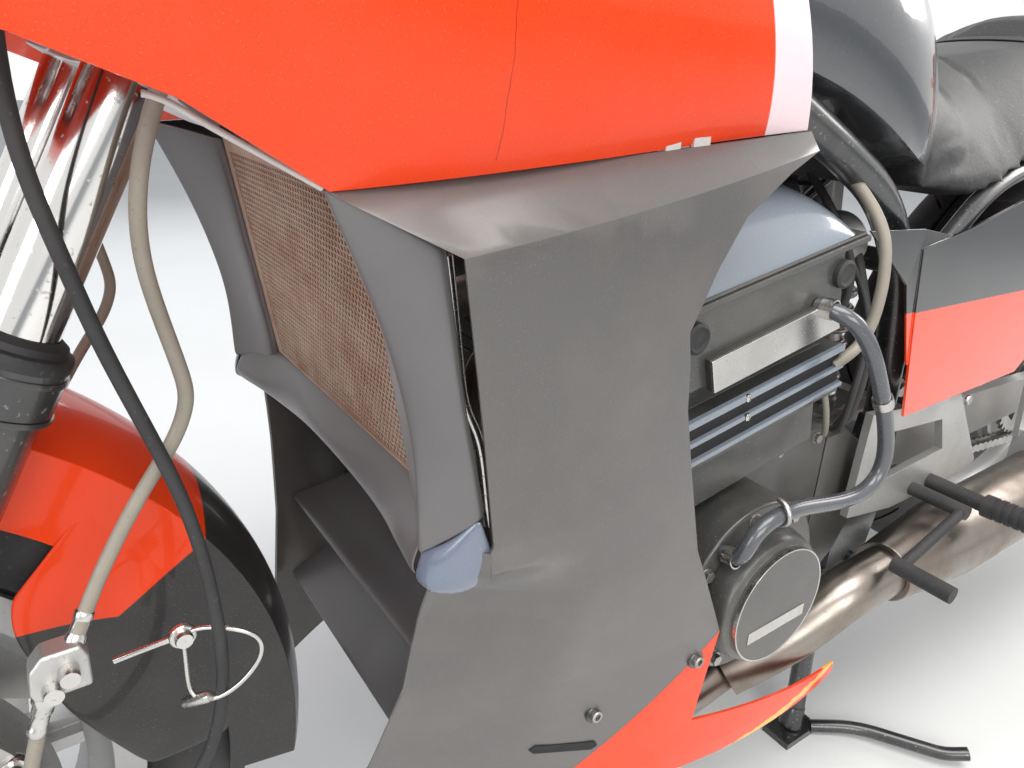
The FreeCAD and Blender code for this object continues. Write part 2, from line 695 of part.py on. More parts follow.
# Radiator with its two tanks, and the stone screen ahead of it, in a frame that leans with them
radiator_place = Placement(behind(393, 0, 508), Rotation(lateral, size("radiator_lean")))
radiator_up = radiator_place.Rotation.multVec(Vector(0, 0, 1))
radiator_ahead = radiator_place.Rotation.multVec(Vector(1, 0, 0))
radiator_half = size("radiator_half_width")
radiator_height = size("radiator_height")
radiator = new_body("radiator", radiator_place)
solid_between(radiator, [[("-radiator_depth - 4", "14"), ("-4", "14"), ("-4", "radiator_height - 14"),
                          ("-radiator_depth - 4", "radiator_height - 14")]],
              "-radiator_half_width", "radiator_half_width")
for low, high in (("0", "15"), ("radiator_height - 15", "radiator_height")):
    solid_between(radiator, [[("-radiator_depth - 8", low), ("-4", low), ("-4", high),
                              ("-radiator_depth - 8", high)]], "-radiator_half_width", "radiator_half_width")
finish("radiator", radiator)


def leaning_slab(half, low, high, back, ahead, side=0):
    corners = [(back, low), (ahead, low), (ahead, high), (back, high)]
    points = [radiator_place.Base + radiator_ahead * a + radiator_up * b + lateral * (side - half)
              for a, b in corners]
    return Part.Face(closed_wire(points)).extrude(lateral * 2 * half)


screen = leaning_slab(radiator_half, 0, radiator_height, -3.7, 0)
column_count, row_count, column_pitch, row_pitch, slot_half, slot_height = 10, 7, 28, 27, 11, 21
slots = []
for column in range(column_count):
    for row in range(row_count):
        low = 10 + row_pitch * row
        slots.append(leaning_slab(slot_half, low, low + slot_height, -8, 4,
                                  column_pitch * (column - (column_count - 1) / 2)))
keep("radiator_screen", screen.cut(Part.makeCompound(slots)))

# Upper fairing: a closed form hollowed, then cut to its side outline; stations are behind the front axle
fairing_rows = (
    # distance behind the axle, then (y, z) of the base, foot, middle and shoulder of the side, and the top
    (665, ((150, 700), (196, 715), (213, 770), (168, 895), (0, 930))),
    (495, ((150, 690), (200, 710), (228, 800), (182, 945), (0, 985))),
    (315, ((150, 690), (203, 712), (238, 810), (194, 972), (0, 1020))),
    (165, ((120, 700), (190, 756), (223, 855), (168, 985), (0, 1030))),
    (55, ((90, 740), (150, 786), (175, 868), (124, 962), (0, 990))),
    (-35, ((60, 800), (100, 828), (115, 867), (84, 915), (0, 930))),
)
outer_form = domed_loft([(wheelbase - d, half) for d, half in fairing_rows])
inner_rows = [(wheelbase - d - (10 if d == fairing_rows[0][0] else 0), half) for d, half in fairing_rows[:-1]]
inner_form = domed_loft(inner_rows, inset=wall)
fairing_outline = [(657, 738), (485, 727), (317, 717), (255, 757), (203, 778), (75, 805), (-45, 840), (-45, 935),
                   (55, 1000), (245, 1040), (315, 985), (415, 955), (535, 905), (611, 822)]


def from_axle(outline):
    return [(wheelbase - d, z) for d, z in outline]


silhouette = side_plate(from_axle(fairing_outline), -300, 300)
cockpit = side_plate(from_axle([(695, 700), (165, 600), (155, 900), (195, 1060), (695, 1060)]), -175, 175)
fork_room = side_plate(from_axle([(695, 600), (15, 600), (15, 815), (65, 812), (205, 800), (695, 800)]), -130, 130)
headlamp_hole = block((wheelbase - 55, -95.5, 829.5), (wheelbase + 105, 95.5, 908.5))
fairing = outer_form.cut(inner_form).common(silhouette)
keep("upper_fairing", fairing.cut(fork_room).cut(cockpit).cut(headlamp_hole))


# Windscreen: a thin curved sheet between bowed edges
def screen_edge(height, back, front, half):
    def bow(inset):
        a = behind(back, half - inset, height)
        b = behind(front + inset, 0, height)
        c = behind(back, -half + inset, height)
        return Part.Arc(a, b, c).toShape(), a, c
    outer, oa, oc = bow(0)
    inner, ia, ic = bow(wall)
    return Part.Wire([outer, Part.LineSegment(oc, ic).toShape(), inner, Part.LineSegment(ia, oa).toShape()])


screen_form = Part.makeLoft([screen_edge(955, 259, 55, 182), screen_edge(1100, 325, 173, 165),
                             screen_edge(1215, 370, 273, 122)], True, False)
keep("windscreen", screen_form.cut(outer_form))

# Headlamp: a lens ahead of a bowl
lamp_back, lamp_face = wheelbase - 95, wheelbase + 11
keep("headlamp", loft([
    [(lamp_back, -70, 838), (lamp_back, 70, 838), (lamp_back, 70, 902), (lamp_back, -70, 902)],
    [(lamp_face, -95, 830), (lamp_face, 95, 830), (lamp_face, 95, 908), (lamp_face, -95, 908)]]))

# Instruments: a hooded housing with round dials, on a stay from the steering head
housing_outline = from_axle([(285, 1000), (269, 1062), (240, 1068), (205, 1052), (205, 1000)])
cluster = side_plate(housing_outline, -118, 118)
dial_rows = ((-70, 32), (8, 36), (82, 25))
dials = [rod(behind(269, y, 1028), behind(289, y, 1033), r) for y, r in dial_rows]
head_front = on_fork(690, 0, 30 - size("fork_offset") + 0.8)
cluster_stay = pipe([head_front, head_front + fork_ahead * 60, behind(219, 0, 960), behind(233, 0, 1001)], 9)
keep("instrument_cluster", cluster.fuse(dials + [cluster_stay]))

# Mirrors on stalks, and front turn signals, both seated on the fairing
stalk = pipe([behind(205, 185, 950), behind(205, 240, 1000), behind(225, 290, 1052), behind(233, 318, 1068)], 9)
mirror_shell = loft([[behind(227, 262, 1052), behind(227, 372, 1058), behind(227, 372, 1112),
                      behind(227, 262, 1106)],
                     [behind(259, 256, 1046), behind(259, 378, 1054), behind(259, 378, 1118),
                      behind(259, 256, 1112)]])
keep("mirrors", both_sides(stalk.fuse(mirror_shell).cut(outer_form)))


def turn_signal(root, out, length, half_height):
    """A tapered lamp body on a short stalk that points sideways."""
    stem = rod(root, root + lateral * out, 8)
    start = root + lateral * (out - 4)
    inner = [start + Vector(a, 0, b) for a, b in ((-length * 0.4, -half_height * 0.7), (length * 0.4, -half_height * 0.7),
                                                  (length * 0.4, half_height * 0.7), (-length * 0.4, half_height * 0.7))]
    outer = [start + Vector(a, 46, b) for a, b in ((-length / 2, -half_height), (length / 2, -half_height),
                                                   (length / 2, half_height), (-length / 2, half_height))]
    return stem.fuse(loft([inner, outer]))


front_signal = turn_signal(behind(172, 190, 842), 44, 62, 17).cut(outer_form)
rear_signal = turn_signal(Vector(-232, 124, 800), 36, 58, 16)

# Lower fairing: one open-sided panel each side, lofted from arcs through three points per height
lower_rows = (
    # front (behind the axle), middle and rear points (stations) of the panel's outer face: (place, y, height)
    ((315, 205, 717), (1010, 208, 727), (826, 207, 738.7)),
    ((368, 240, 688), (1000, 236, 703), (826, 216, 728)),
    ((382, 236, 600), (1020, 240, 600), (850, 230, 600)),
    ((397, 228, 509), (1010, 236, 509), (850, 228, 509)),
    ((383, 204, 445), (1000, 228, 445), (820, 226, 445)),
    ((375, 168, 342), (930, 219, 342), (630, 214, 342)),
    ((345, 96, 190), (930, 200, 190), (630, 210, 190)),
    ((339, 70, 130), (930, 190, 130), (630, 208, 130)),
)


def row_points(row, inwards):
    front, middle, rear = row
    return [behind(*front), Vector(*middle), Vector(*rear)], lateral * -inwards


def panel_section(row, thickness):
    (front, middle, rear), inwards = row_points(row, thickness)
    inner_front = front + inwards + Vector(-1, 0, 0)
    outer = Part.Arc(front, middle, rear).toShape()
    inner = Part.Arc(inner_front, middle + inwards, rear + inwards).toShape()
    last = Part.LineSegment(rear, rear + inwards).toShape()
    first = Part.LineSegment(inner_front, front).toShape()
    return Part.Wire([outer, last, inner, first])


def inside_section(row, clearance):
    points, inwards = row_points(row, clearance)
    front, middle, rear = [p + inwards for p in points]
    rear_centre, front_centre = Vector(rear.x, 0, rear.z), Vector(front.x, 0, front.z)
    return Part.Wire([Part.Arc(front, middle, rear).toShape(),
                      Part.LineSegment(rear, rear_centre).toShape(),
                      Part.LineSegment(rear_centre, front_centre).toShape(),
                      Part.LineSegment(front_centre, front).toShape()])


lower_form = Part.makeLoft([panel_section(row, wall) for row in lower_rows], True, True)
inside_form = Part.makeLoft([inside_section(row, wall + 1.4) for row in lower_rows], True, True)
panel_front = from_axle([(314, 716.5), (368, 687), (397, 509), (383, 445), (375, 342), (345, 190)])
panel_rear = [(1010, 190), (868, 342), (920, 445), (943, 520), (957, 570), (964, 624), (942, 660),
              (917, 690), (870, 714), (838, 726), (836, 737.5), (1010, 726.5)]
duct_walls = loft([
    [behind(387, 141.6, 508), behind(357, 141.6, 700), behind(360, 141.6, 700), behind(390, 141.6, 508)],
    [behind(385, 219, 512), behind(359, 225, 686), behind(362, 225, 686), behind(388, 219, 512)]])
lip_outline = [behind(367.8, 190.6, 478), behind(395.5, 226.5, 478), behind(399, 224, 478), behind(371.8, 189, 478)]
lip = Part.Face(closed_wire(lip_outline)).extrude(Vector(0, 0, 26))
lower_panel = lower_form.common(side_plate(panel_front + panel_rear, 40, 300)).fuse(lip)
keep("lower_fairing", both_sides(lower_panel))
accent_outline = [(867.5, 341.6), (872, 236), (640, 186), (636, 170), (930, 172), (1009.5, 189.6)]
accent = lower_form.common(side_plate(accent_outline, 40, 300))
keep("belly_accents", both_sides(accent))

# Front cowl: duct walls beside the radiator, a band below it and the slatted chin
band = leaning_slab(radiator_half - 1, -60, -1, -8, -4)
slats = []
for height in (285, 405):
    blade_outline = [(1080, height), (1116, height + 18), (1116, height + 22), (1080, height + 4)]
    blade = side_plate(from_axle([(1495 - x, z) for x, z in blade_outline]), 0, 260).common(inside_form)
    slats.append(blade.fuse(mirrored(blade)))
keep("front_cowl", Part.makeCompound([duct_walls, mirrored(duct_walls), band] + slats))

# Fuel tank and its lid
tank_rows = (
    (wheelbase - 465, ((60, 880), (88, 888), (97, 912), (74, 940), (0, 953))),
    (900, ((120, 780), (156, 796), (166, 850), (128, 932), (0, 970))),
    (740, ((130, 745), (176, 757), (184, 820), (136, 922), (0, 962))),
    (640, ((130, 700), (172, 714), (176, 770), (118, 876), (0, 925))),
    (580, ((100, 690), (154, 699), (152, 745), (96, 830), (0, 866))),
)
tunnel = side_plate([(1100, 700), (1100, 912), (900, 880), (500, 740), (500, 600)], -80, 80)
rail_room = pipe(rail_points, frame_radius + 0.5).fuse(pipe(low_rail_points, frame_radius - 3.5))
tank = domed_loft(tank_rows).cut(tunnel).cut(rail_room).cut(mirrored(rail_room))
lid_centre = Vector(800, 0, 958)
lid_radius = size("lid_radius")
lid_recess = rod(lid_centre, lid_centre + Vector(0, 0, 42), lid_radius + 7).fuse(
    rod(lid_centre - Vector(0, 0, 28), lid_centre, lid_radius - 2))
lid_axis = lid_centre + Vector(lid_radius + 3, 0, 21)
lug_back, lug_front = lid_axis.x - 2.4, lid_axis.x + 5
lid_lug = side_plate([(lug_back, 958), (lug_front, 958), (lug_front, 979), (lug_front - 2, 983),
                      (lug_back + 1.4, 983), (lug_back, 979)], 9, 13)
lid_pin = rod(lid_axis - lateral * 12, lid_axis + lateral * 12, 2)
keep("fuel_tank", tank.cut(lid_recess).fuse([lid_lug, mirrored(lid_lug), lid_pin]))
lid_barrel = rod(lid_axis - lateral * 8, lid_axis + lateral * 8, 4)
lid_tongue = block((826, -8, 966), (lid_axis.x, 8, 979))
lid = rod(lid_centre + Vector(0, 0, 0.3), lid_centre + Vector(0, 0, 16), lid_radius).fuse(
    [rod(lid_centre - Vector(0, 0, 18), lid_centre + Vector(0, 0, 1), 24), lid_tongue, lid_barrel])
keep("filler_lid", lid.cut(rod(lid_axis - lateral * 12, lid_axis + lateral * 12, 2 + gap)))

# Seat on its subframe, side covers, tail
subframe_points = [(556, 166, 606), (440, 150, 672), (200, 130, 706), (-60, 100, 728)]
strut_points = [(516, 158, 470), (400, 150, 560), (200, 130, 700)]
subframe_radius = size("subframe_radius")
seat_rows = (
    (579, ((100, 668), (156, 675), (154, 730), (98, 806), (0, 838))),
    (480, ((120, 654), (162, 661), (158, 706), (104, 768), (0, 786))),
    (400, ((120, 676), (160, 684), (157, 722), (108, 768), (0, 782))),
    (200, ((120, 706), (156, 714), (154, 752), (112, 797), (0, 806))),
    (150, ((110, 712), (146, 720), (146, 770), (108, 832), (0, 844))),
    (-80, ((90, 732), (118, 738), (118, 782), (88, 838), (0, 852))),
)


def subframe_form(clearance):
    """The rear subframe, its tubes grown by a clearance."""
    rails = pipe(subframe_points, subframe_radius + clearance)
    strut = pipe(strut_points, subframe_radius - 2 + clearance)
    cross = rod(Vector(-52, -100, 727), Vector(-52, 100, 727), 9 + clearance)
    return rails.fuse([strut, mirrored(rails), mirrored(strut), cross])


keep("rear_subframe", subframe_form(0))
keep("seat", domed_loft(seat_rows, ruled=True).cut(subframe_form(0.4)))
side_cover = new_body("side cover", Placement())
solid_between(side_cover, [[("600", "628"), ("587", "563"), ("560", "448"), ("324", "452"), ("230", "520"),
                            ("190", "690"), ("420", "662"), ("520", "640")]], "178", "181")
solid_between(side_cover, [[("690", "652"), ("612", "595"), ("576", "508"), ("540", "508"), ("540", "634"),
                            ("600", "646")]], "176.6", "179")
solid_between(side_cover, [("540", "560", "6")], "153.6", "179")
solid_between(side_cover, [("300", "626", "6")], "149.6", "179")
finish("side_covers", together([side_cover, mirror_of(side_cover)]))
tail_half = {
    190: [(150, 640), (184, 655), (180, 722), (160, 736), (0, 736)],
    -80: [(118, 690), (160, 706), (152, 770), (118, 858), (0, 864)],
    -335: [(60, 765), (92, 778), (84, 828), (40, 838), (0, 840)],
}
tail_form = loft([full_section(x, half) for x, half in tail_half.items()])
hollow_half = {x: [(y - wall if y else 0, z + (-60 if i < 1 else -wall)) for i, (y, z) in enumerate(half)]
               for x, half in tail_half.items()}
tail_hollow = loft([full_section(x if x > -300 else -330, half) for x, half in hollow_half.items()])
seat_recess = block((-80.5, -150, 600), (260, 150, 900))
seat_room = domed_loft(seat_rows, ruled=True, inset=-1)
tail = tail_form.cut(tail_hollow).cut(seat_recess).cut(seat_room)
keep("tail_fairing", tail)
keep("tail_lamp", block((-352, -84, 776), (-335.3, 84, 828)))
rear_fender = new_body("rear fender", Placement())
solid_between(rear_fender, [[("-44", "716"), ("-320", "752"), ("-400", "560"), ("-394", "556"),
                             ("-314", "744"), ("-44", "711")]], "-78", "78")
finish("rear_fender", rear_fender)
keep("turn_signals", Part.makeCompound([both_sides(front_signal), both_sides(rear_signal.cut(tail_form))]))

# Cast brackets for the footpegs, then pegs and pedals
bracket = new_body("footpeg bracket", Placement())
solid_between(bracket, [[("600", "455"), ("420", "440"), ("335", "332"), ("350", "320"), ("520", "320"),
                         ("605", "334")]], "162", "171")
cut_between(bracket, [[("560", "425"), ("450", "415"), ("430", "372"), ("545", "365")]], "160", "173")
for x, z in (("490", "334"), ("541", "345")):
    solid_between(bracket, [(x, z, "9")], "136.3", "163")
finish("footpeg_brackets", together([bracket, mirror_of(bracket)]))
peg_root = rod(Vector(442, 171.3, 333), Vector(442, 240, 333), 9)
peg_rubber = rod(Vector(442, 236, 333), Vector(442, 322, 338), 13)
peg_grooves = [ring(16, 11.4, Vector(442, y, 333 + (y - 236) * 5 / 86), Vector(442, y + 4, 333 + (y - 232) * 5 / 86))
               for y in range(248, 312, 9)]
shift_peg = rod(Vector(588, 222, 301), Vector(588, 285, 301), 9)
shift_arm = rod(Vector(588, 230, 301), Vector(480, 230, 334), 6)
shift_pivot = rod(Vector(480, 171.3, 334), Vector(480, 236, 334), 8)
peg = peg_rubber.cut(Part.makeCompound(peg_grooves)).fuse(peg_root)
pedal = shift_peg.fuse([shift_arm, shift_pivot])
keep("foot_controls", Part.makeCompound([peg, pedal, mirrored(peg), mirrored(pedal)]))

# Exhaust: four headers joined in pairs, and a silencer each side
header_radius = size("header_radius")
header_front = min(1030, wheelbase - 465)
headers = []
for y, side in ((62, 118), (158, 150)):
    port = on_engine(88.5, 245, y)
    headers.append(pipe([port, port + engine_ahead * 70, (header_front, (y + side) / 2, 400),
                         (985, side, 190), (860, side, 160), (740, 150, 178)], header_radius))
collector = pipe([(745, 150, 178), (690, 178, 215), (625, 200, 266), (562.5, 200, 266)], 28)
keep("exhaust_headers", both_sides(headers[0].fuse([headers[1], collector])))
silencer_front, silencer_back = Vector(561, 200, 266), Vector(-330, 214, 292)
silencer_along = (silencer_back - silencer_front).normalize()
silencer_length = (silencer_back - silencer_front).Length
silencer = new_body("silencer", along(silencer_front, silencer_along))
turned(silencer, [("0", "0"), ("silencer_radius - 12", "0"), ("silencer_radius", "120"),
                  ("silencer_radius", str(silencer_length - 34)), ("silencer_radius - 20", str(silencer_length)),
                  ("15", str(silencer_length)), ("15", str(silencer_length - 60)),
                  ("0", str(silencer_length - 60))])
finish("silencers", together([silencer, mirror_of(silencer)]))

# Hangers from the subframe to the silencers, with the passenger's footpegs
silencer_radius = size("silencer_radius")
hanger_station = 196
band_place = silencer_front + silencer_along * (561 - hanger_station)
hanger_plate = side_plate([(262, 650), (236, 684), (224, 676), (178, 400), (180, 330), (212, 330), (222, 390)],
                          160, 167)
hanger_boss = rod(Vector(246, 143.4, 667.8), Vector(246, 161, 667.8), 8)
hanger_lug = block((hanger_station - 12, 160, 292), (hanger_station + 12, 186, 340))
hanger_band = rod(band_place - silencer_along * 10, band_place + silencer_along * 10, silencer_radius + 4)
silencer_room = rod(silencer_front, silencer_back, silencer_radius + gap)
passenger_peg = rod(Vector(hanger_station, 166, 372), Vector(hanger_station, 262, 372), 11)
hanger = hanger_plate.fuse([hanger_boss, hanger_lug, hanger_band, passenger_peg]).cut(silencer_room)
keep("silencer_hangers", both_sides(hanger))

# Drive chain: two rows of waisted plates about a core, round both sprockets
front_sprocket = Vector(576, 0, 352)
rear_pitch, front_pitch = size(rear_pitch_radius), size(front_pitch_radius)
run = front_sprocket - rear_axle
run_swing = math.asin((rear_pitch - front_pitch) / run.Length)
run_length = math.sqrt(run.Length ** 2 - (rear_pitch - front_pitch) ** 2)
front_wrap, rear_wrap = math.pi - 2 * run_swing, math.pi + 2 * run_swing
loop_length = 2 * run_length + front_pitch * front_wrap + rear_pitch * rear_wrap
link_count = 2 * round(loop_length / size("chain_pitch") / 2)
slope = math.atan2(run.z, run.x)


def loop_place(distance):
    """The place on the pitch line at a distance along it, and the outward direction there."""
    parts = ((run_length, rear_axle, rear_pitch, slope + math.pi / 2 - run_swing, 0),
             (front_pitch * front_wrap, front_sprocket, front_pitch, slope + math.pi / 2 - run_swing, 1),
             (run_length, front_sprocket, front_pitch, slope - math.pi / 2 + run_swing, 0),
             (rear_pitch * rear_wrap, rear_axle, rear_pitch, slope - math.pi / 2 + run_swing, 1))
    for length, centre, radius, angle, wraps in parts:
        if distance <= length:
            break
        distance -= length
    angle -= distance / radius * wraps
    out = Vector(math.cos(angle), 0, math.sin(angle))
    return centre + out * radius + Vector(out.z, 0, -out.x) * distance * (1 - wraps), out


def chain_outline(half_heights):
    """A closed outline round the loop; half heights are taken in turn at evenly spaced places."""
    count = link_count * len(half_heights)
    points = []
    for i in range(count):
        place, out = loop_place(loop_length * i / count)
        points.append(place + out * half_heights[i % len(half_heights)])
    return closed_wire(points)


def chain_band(half_heights, low, high):
    """A flat band round the loop, between two lateral places."""
    outer = Part.Face(chain_outline(half_heights))
    inner = Part.Face(chain_outline([-h for h in half_heights]))
    band_face = outer.cut(inner)
    band_face.translate(lateral * low)
    return band_face.extrude(lateral * (high - low))


plate_half = size("chain_half_height")
inside_half = size("chain_inside_width") / 2
plate_thick = size("chain_plate_thickness")
chain = chain_band([2.5], chain_line - inside_half - 0.5, chain_line + inside_half + 0.5)
chain = chain.fuse([chain_band([plate_half, plate_half - 3], chain_line + inside_half,
                               chain_line + inside_half + plate_thick),
                    chain_band([plate_half, plate_half - 3], chain_line - inside_half - plate_thick,
                               chain_line - inside_half)])
chain_feature = document.addObject("Part::Feature", "chain")
chain_feature.Shape = chain
drive_sprocket = new_body("drive sprocket", Placement(front_sprocket + lateral * chain_line, Rotation()))
solid_between(drive_sprocket, [("0", "0", front_pitch_radius + " - chain_half_height - 1.5")],
              "-" + half_sprocket, half_sprocket)
solid_between(drive_sprocket, [("20", "0", "10")], str(70.3 - chain_line), "0")
toothed_rim(drive_sprocket, front_pitch_radius, "front_teeth", half_sprocket)
finish("drive_chain", together([chain_feature, drive_sprocket]))

# Shock absorber between the swingarm and the crankcase, with the turns of its spring
shock_low, shock_high = Vector(444, 0, 345.3), Vector(444, 0, 589.7)
coil_turns = 8
coil_low, coil_high = Vector(444, 0, 380), Vector(444, 0, 560)
coil_pitch = (coil_high.z - coil_low.z) / coil_turns
coil_rings = [Part.makeTorus(25, 5, coil_low + Vector(0, 0, coil_pitch * (i + 0.5)), Vector(0, 0.12, 1))
              for i in range(coil_turns)]
coil_seats = [rod(coil_low - Vector(0, 0, 8), coil_low, 31), rod(coil_high, coil_high + Vector(0, 0, 8), 31)]
keep("shock_absorber", rod(shock_low, shock_high, 12).fuse([rod(coil_low, coil_high, 21)] + coil_seats + coil_rings))


# Calipers astride their discs
def caliper(centre, radius, inner_y, outer_y, disc_low, disc_high, region):
    body = ring(radius + 16, radius - 48, centre + lateral * inner_y, centre + lateral * outer_y)
    slot = ring(radius + 5, 1, centre + lateral * (disc_low - 4), centre + lateral * (disc_high + 4))
    return body.common(region).cut(slot)


rear_disc_outer = rear_disc_seat - size("disc_thickness")
arm_inner = size("arm_inner")
rear_region = block((50, -200, 360), (140, 0, 450))
keep("rear_caliper", caliper(rear_axle, size("rear_disc_radius"), -arm_inner + 0.3, rear_disc_seat + 18,
                             rear_disc_outer, rear_disc_seat, rear_region))
front_region = Part.Face(closed_wire([on_fork(66, 0, -170), on_fork(146, 0, -170), on_fork(146, 0, -10),
                                      on_fork(66, 0, -10)])).extrude(lateral * 200)
front_caliper = caliper(front_axle, size("front_disc_radius"), 46, 96, disc_seat,
                        disc_seat + size("disc_thickness"), front_region)
caliper_bores = [rod(on_fork(106, 96, -100 + shift) - lateral * 3, on_fork(106, 96, -100 + shift), 17)
                 for shift in (-22, 22)]
near_slider = rod(on_fork(0, half_spread), on_fork(300, half_spread), slider_radius + gap)
keep("front_calipers", both_sides(front_caliper.cut(near_slider).cut(Part.makeCompound(caliper_bores))))

# Handlebars clipped round the tubes above the upper clamp, with grips and levers
clip_low, clip_high = on_fork(clamp_high + 20.5, half_spread), on_fork(clamp_high + 44, half_spread)
clip = new_body("bar clip", along(clip_low, fork_up))
clip_length = str((clip_high - clip_low).Length)
turned(clip, [("fork_tube_radius + running_gap", "0"), ("fork_tube_radius + 11", "0"),
              ("fork_tube_radius + 11", clip_length), ("fork_tube_radius + running_gap", clip_length)])
bar_start = on_fork(clamp_high + 32, half_spread) + Vector(-8, 26, 2)
bar_end = bar_start + Vector(-115.6, 220.5, 1.9)
along_bar = (bar_end - bar_start).normalize()
bar = cylinder("bar", bar_start, bar_end, "bar_radius")
tube_room = cylinder("tube room", on_fork(clamp_high, half_spread), on_fork(clamp_high + 60, half_spread),
                     "fork_tube_radius + running_gap")
bar_bore = cylinder("bar bore", bar_end - along_bar * 40, bar_end + along_bar, "bar_bore_radius")
handlebar = less(joined([clip, bar]), joined([tube_room, bar_bore]))
finish("handlebars", together([handlebar, mirror_of(handlebar)]))
print("bar end axis", [round(v, 5) for v in along_bar], "mouth", bar_end)
grip = new_body("grip", along(bar_end - along_bar * 122, along_bar))
grip_bore = "bar_radius + running_gap"
turned(grip, [(grip_bore, "0"), ("grip_radius + 4", "0"), ("grip_radius + 4", "6"), ("grip_radius - 1", "8"),
              ("grip_radius", "60"), ("grip_radius - 1", "112"), ("grip_radius + 2", "118"),
              ("grip_radius + 2", "124"), (grip_bore, "124")])
finish("grips", together([grip, mirror_of(grip)]))
perch = ring(18, size(grip_bore), bar_end - along_bar * 158, bar_end - along_bar * 128)
lever_start = bar_end - along_bar * 140 + Vector(16, 0, -8)
lever = rod(lever_start, lever_start + Vector(16, 12, -8), 8).fuse(
    rod(lever_start + Vector(14, 10, -7), bar_end + Vector(40, -6, -18), 6))
keep("control_levers", both_sides(perch.fuse([lever])))

# Front brake hoses, the speedometer cable in its guide ring, and the coolant hose
hose_radius = 4
hose_points = [behind(372, 161, 1008), behind(345, 150, 930), behind(300, 142, 830), behind(250, 134, 740),
               behind(244, 128, 660), behind(257, 128, 606), behind(228, 128, 556), behind(181, 136, 476)]
caliper_hose = [behind(163, 138, 446), behind(152, 138, 398), behind(135, 118, 365), behind(135, 96.3, 365)]
hose_block = block((wheelbase - 184, 129, 448), (wheelbase - 158, 147, 474))
brake_hose = pipe(hose_points, hose_radius).fuse([pipe(caliper_hose, hose_radius), hose_block])
keep("brake_hoses", both_sides(brake_hose))
cable_points = [behind(208, 133.6, 792), behind(199, 142, 735), behind(222, 142, 640), behind(250, 142, 533),
                behind(255, 140, 430), behind(240, 139, 336), behind(150, 120, 290), behind(70, 104, 299),
                behind(32.4, 104, 299)]
guide_place = behind(255, 140, 430)
guide_ring = Part.makeTorus(14, 1.6, guide_place, Vector(0.02, 0, 1))
guide_stay = rod(guide_place + Vector(14, 0, 0), on_fork(146, half_spread, -slider_radius + 1), 2)
guide = guide_ring.fuse(guide_stay).cut(rod(on_fork(0, half_spread), on_fork(300, half_spread), slider_radius + gap))
keep("speedometer_cable", Part.makeCompound([pipe(cable_points, hose_radius), guide]))
coolant_points = [(765, 190.3, 600), (765, 222, 600), (738, 231, 556), (708, 231, 519), (676, 231, 476),
                  (681, 231, 434), (740, 230, 428), (800, 229, 441), (846, 229, 437), (852, 227, 402),
                  (852, 205.3, 402)]
keep("engine_hoses", pipe(coolant_points, 7))

# Centre stand: two splayed legs, a cross tube, feet and a tang for the rider's foot
foot = Vector(585, 150, 0)
leg = rod(stand_pivot + lateral * 100, foot + Vector(-6, -2, 20), 12)
eye = rod(stand_pivot + lateral * 92, stand_pivot + lateral * 121, 17)
pad = block((555, 132, 0), (615, 170, 9)).fuse(tapered(Vector(583, 149, 8), Vector(577, 147, 34), 15, 12))
stand = leg.fuse([eye, pad])
stand_cross = rod(stand_pivot + Vector(14, -106, -48), stand_pivot + Vector(14, 106, -48), 10)
tang = pipe([(566, 165, 9), (520, 200, 12), (470, 285, 16), (451, 303, 22)], 8)
keep("centre_stand", stand.fuse([mirrored(stand), stand_cross, tang]).cut(stand_bore))

# Side stand, folded back under the left silencer; its hinge leans so that the leg swings down and out
side_hinge = Vector(578, 154.5, 198)
folded = Vector(-0.99, 0.12, -0.03).normalize()
deployed = Vector(0.15, 0.5, -0.85).normalize()
side_axis = folded.cross(deployed).normalize()
side_leg = rod(side_hinge, side_hinge + folded * 178, 9)
side_eye = rod(side_hinge + side_axis * 11, side_hinge - side_axis * 11, 15)
side_pad = rod(side_hinge + folded * 172 + side_axis * 5, side_hinge + folded * 172 - side_axis * 16, 17)
keep("side_stand", side_leg.fuse([side_eye, side_pad]))
print("side stand axis", [round(v, 5) for v in side_axis])

document.recompute()
failed = [item.Label for item in document.Objects if "Invalid" in item.State or "Error" in item.State]
if failed:
    raise RuntimeError("failed objects: %s" % failed)
os.makedirs("parts", exist_ok=True)
for piece in pieces:
    if piece.Shape.isNull() or not piece.Shape.isValid() or not piece.Shape.Solids:
        raise RuntimeError("no valid solid in %s" % piece.Label)
for piece in pieces:
    piece.Shape.exportStep("parts/%s.step" % piece.Label)
    print("%-24s solids %2d volume %10.0f" % (piece.Label, len(piece.Shape.Solids), piece.Shape.Volume))
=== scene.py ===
# %% [markdown]
# A sport motorcycle, dressed for its portrait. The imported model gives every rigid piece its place,
# so this file only adds finish and form. Everything is in metres, and the origin lies on the ground
# under the middle of the motorcycle: +X forwards, +Y to the rider's left, +Z up.

# %% Load the frame
import json
import math

import bmesh
import bpy
from mathutils import Matrix, Vector


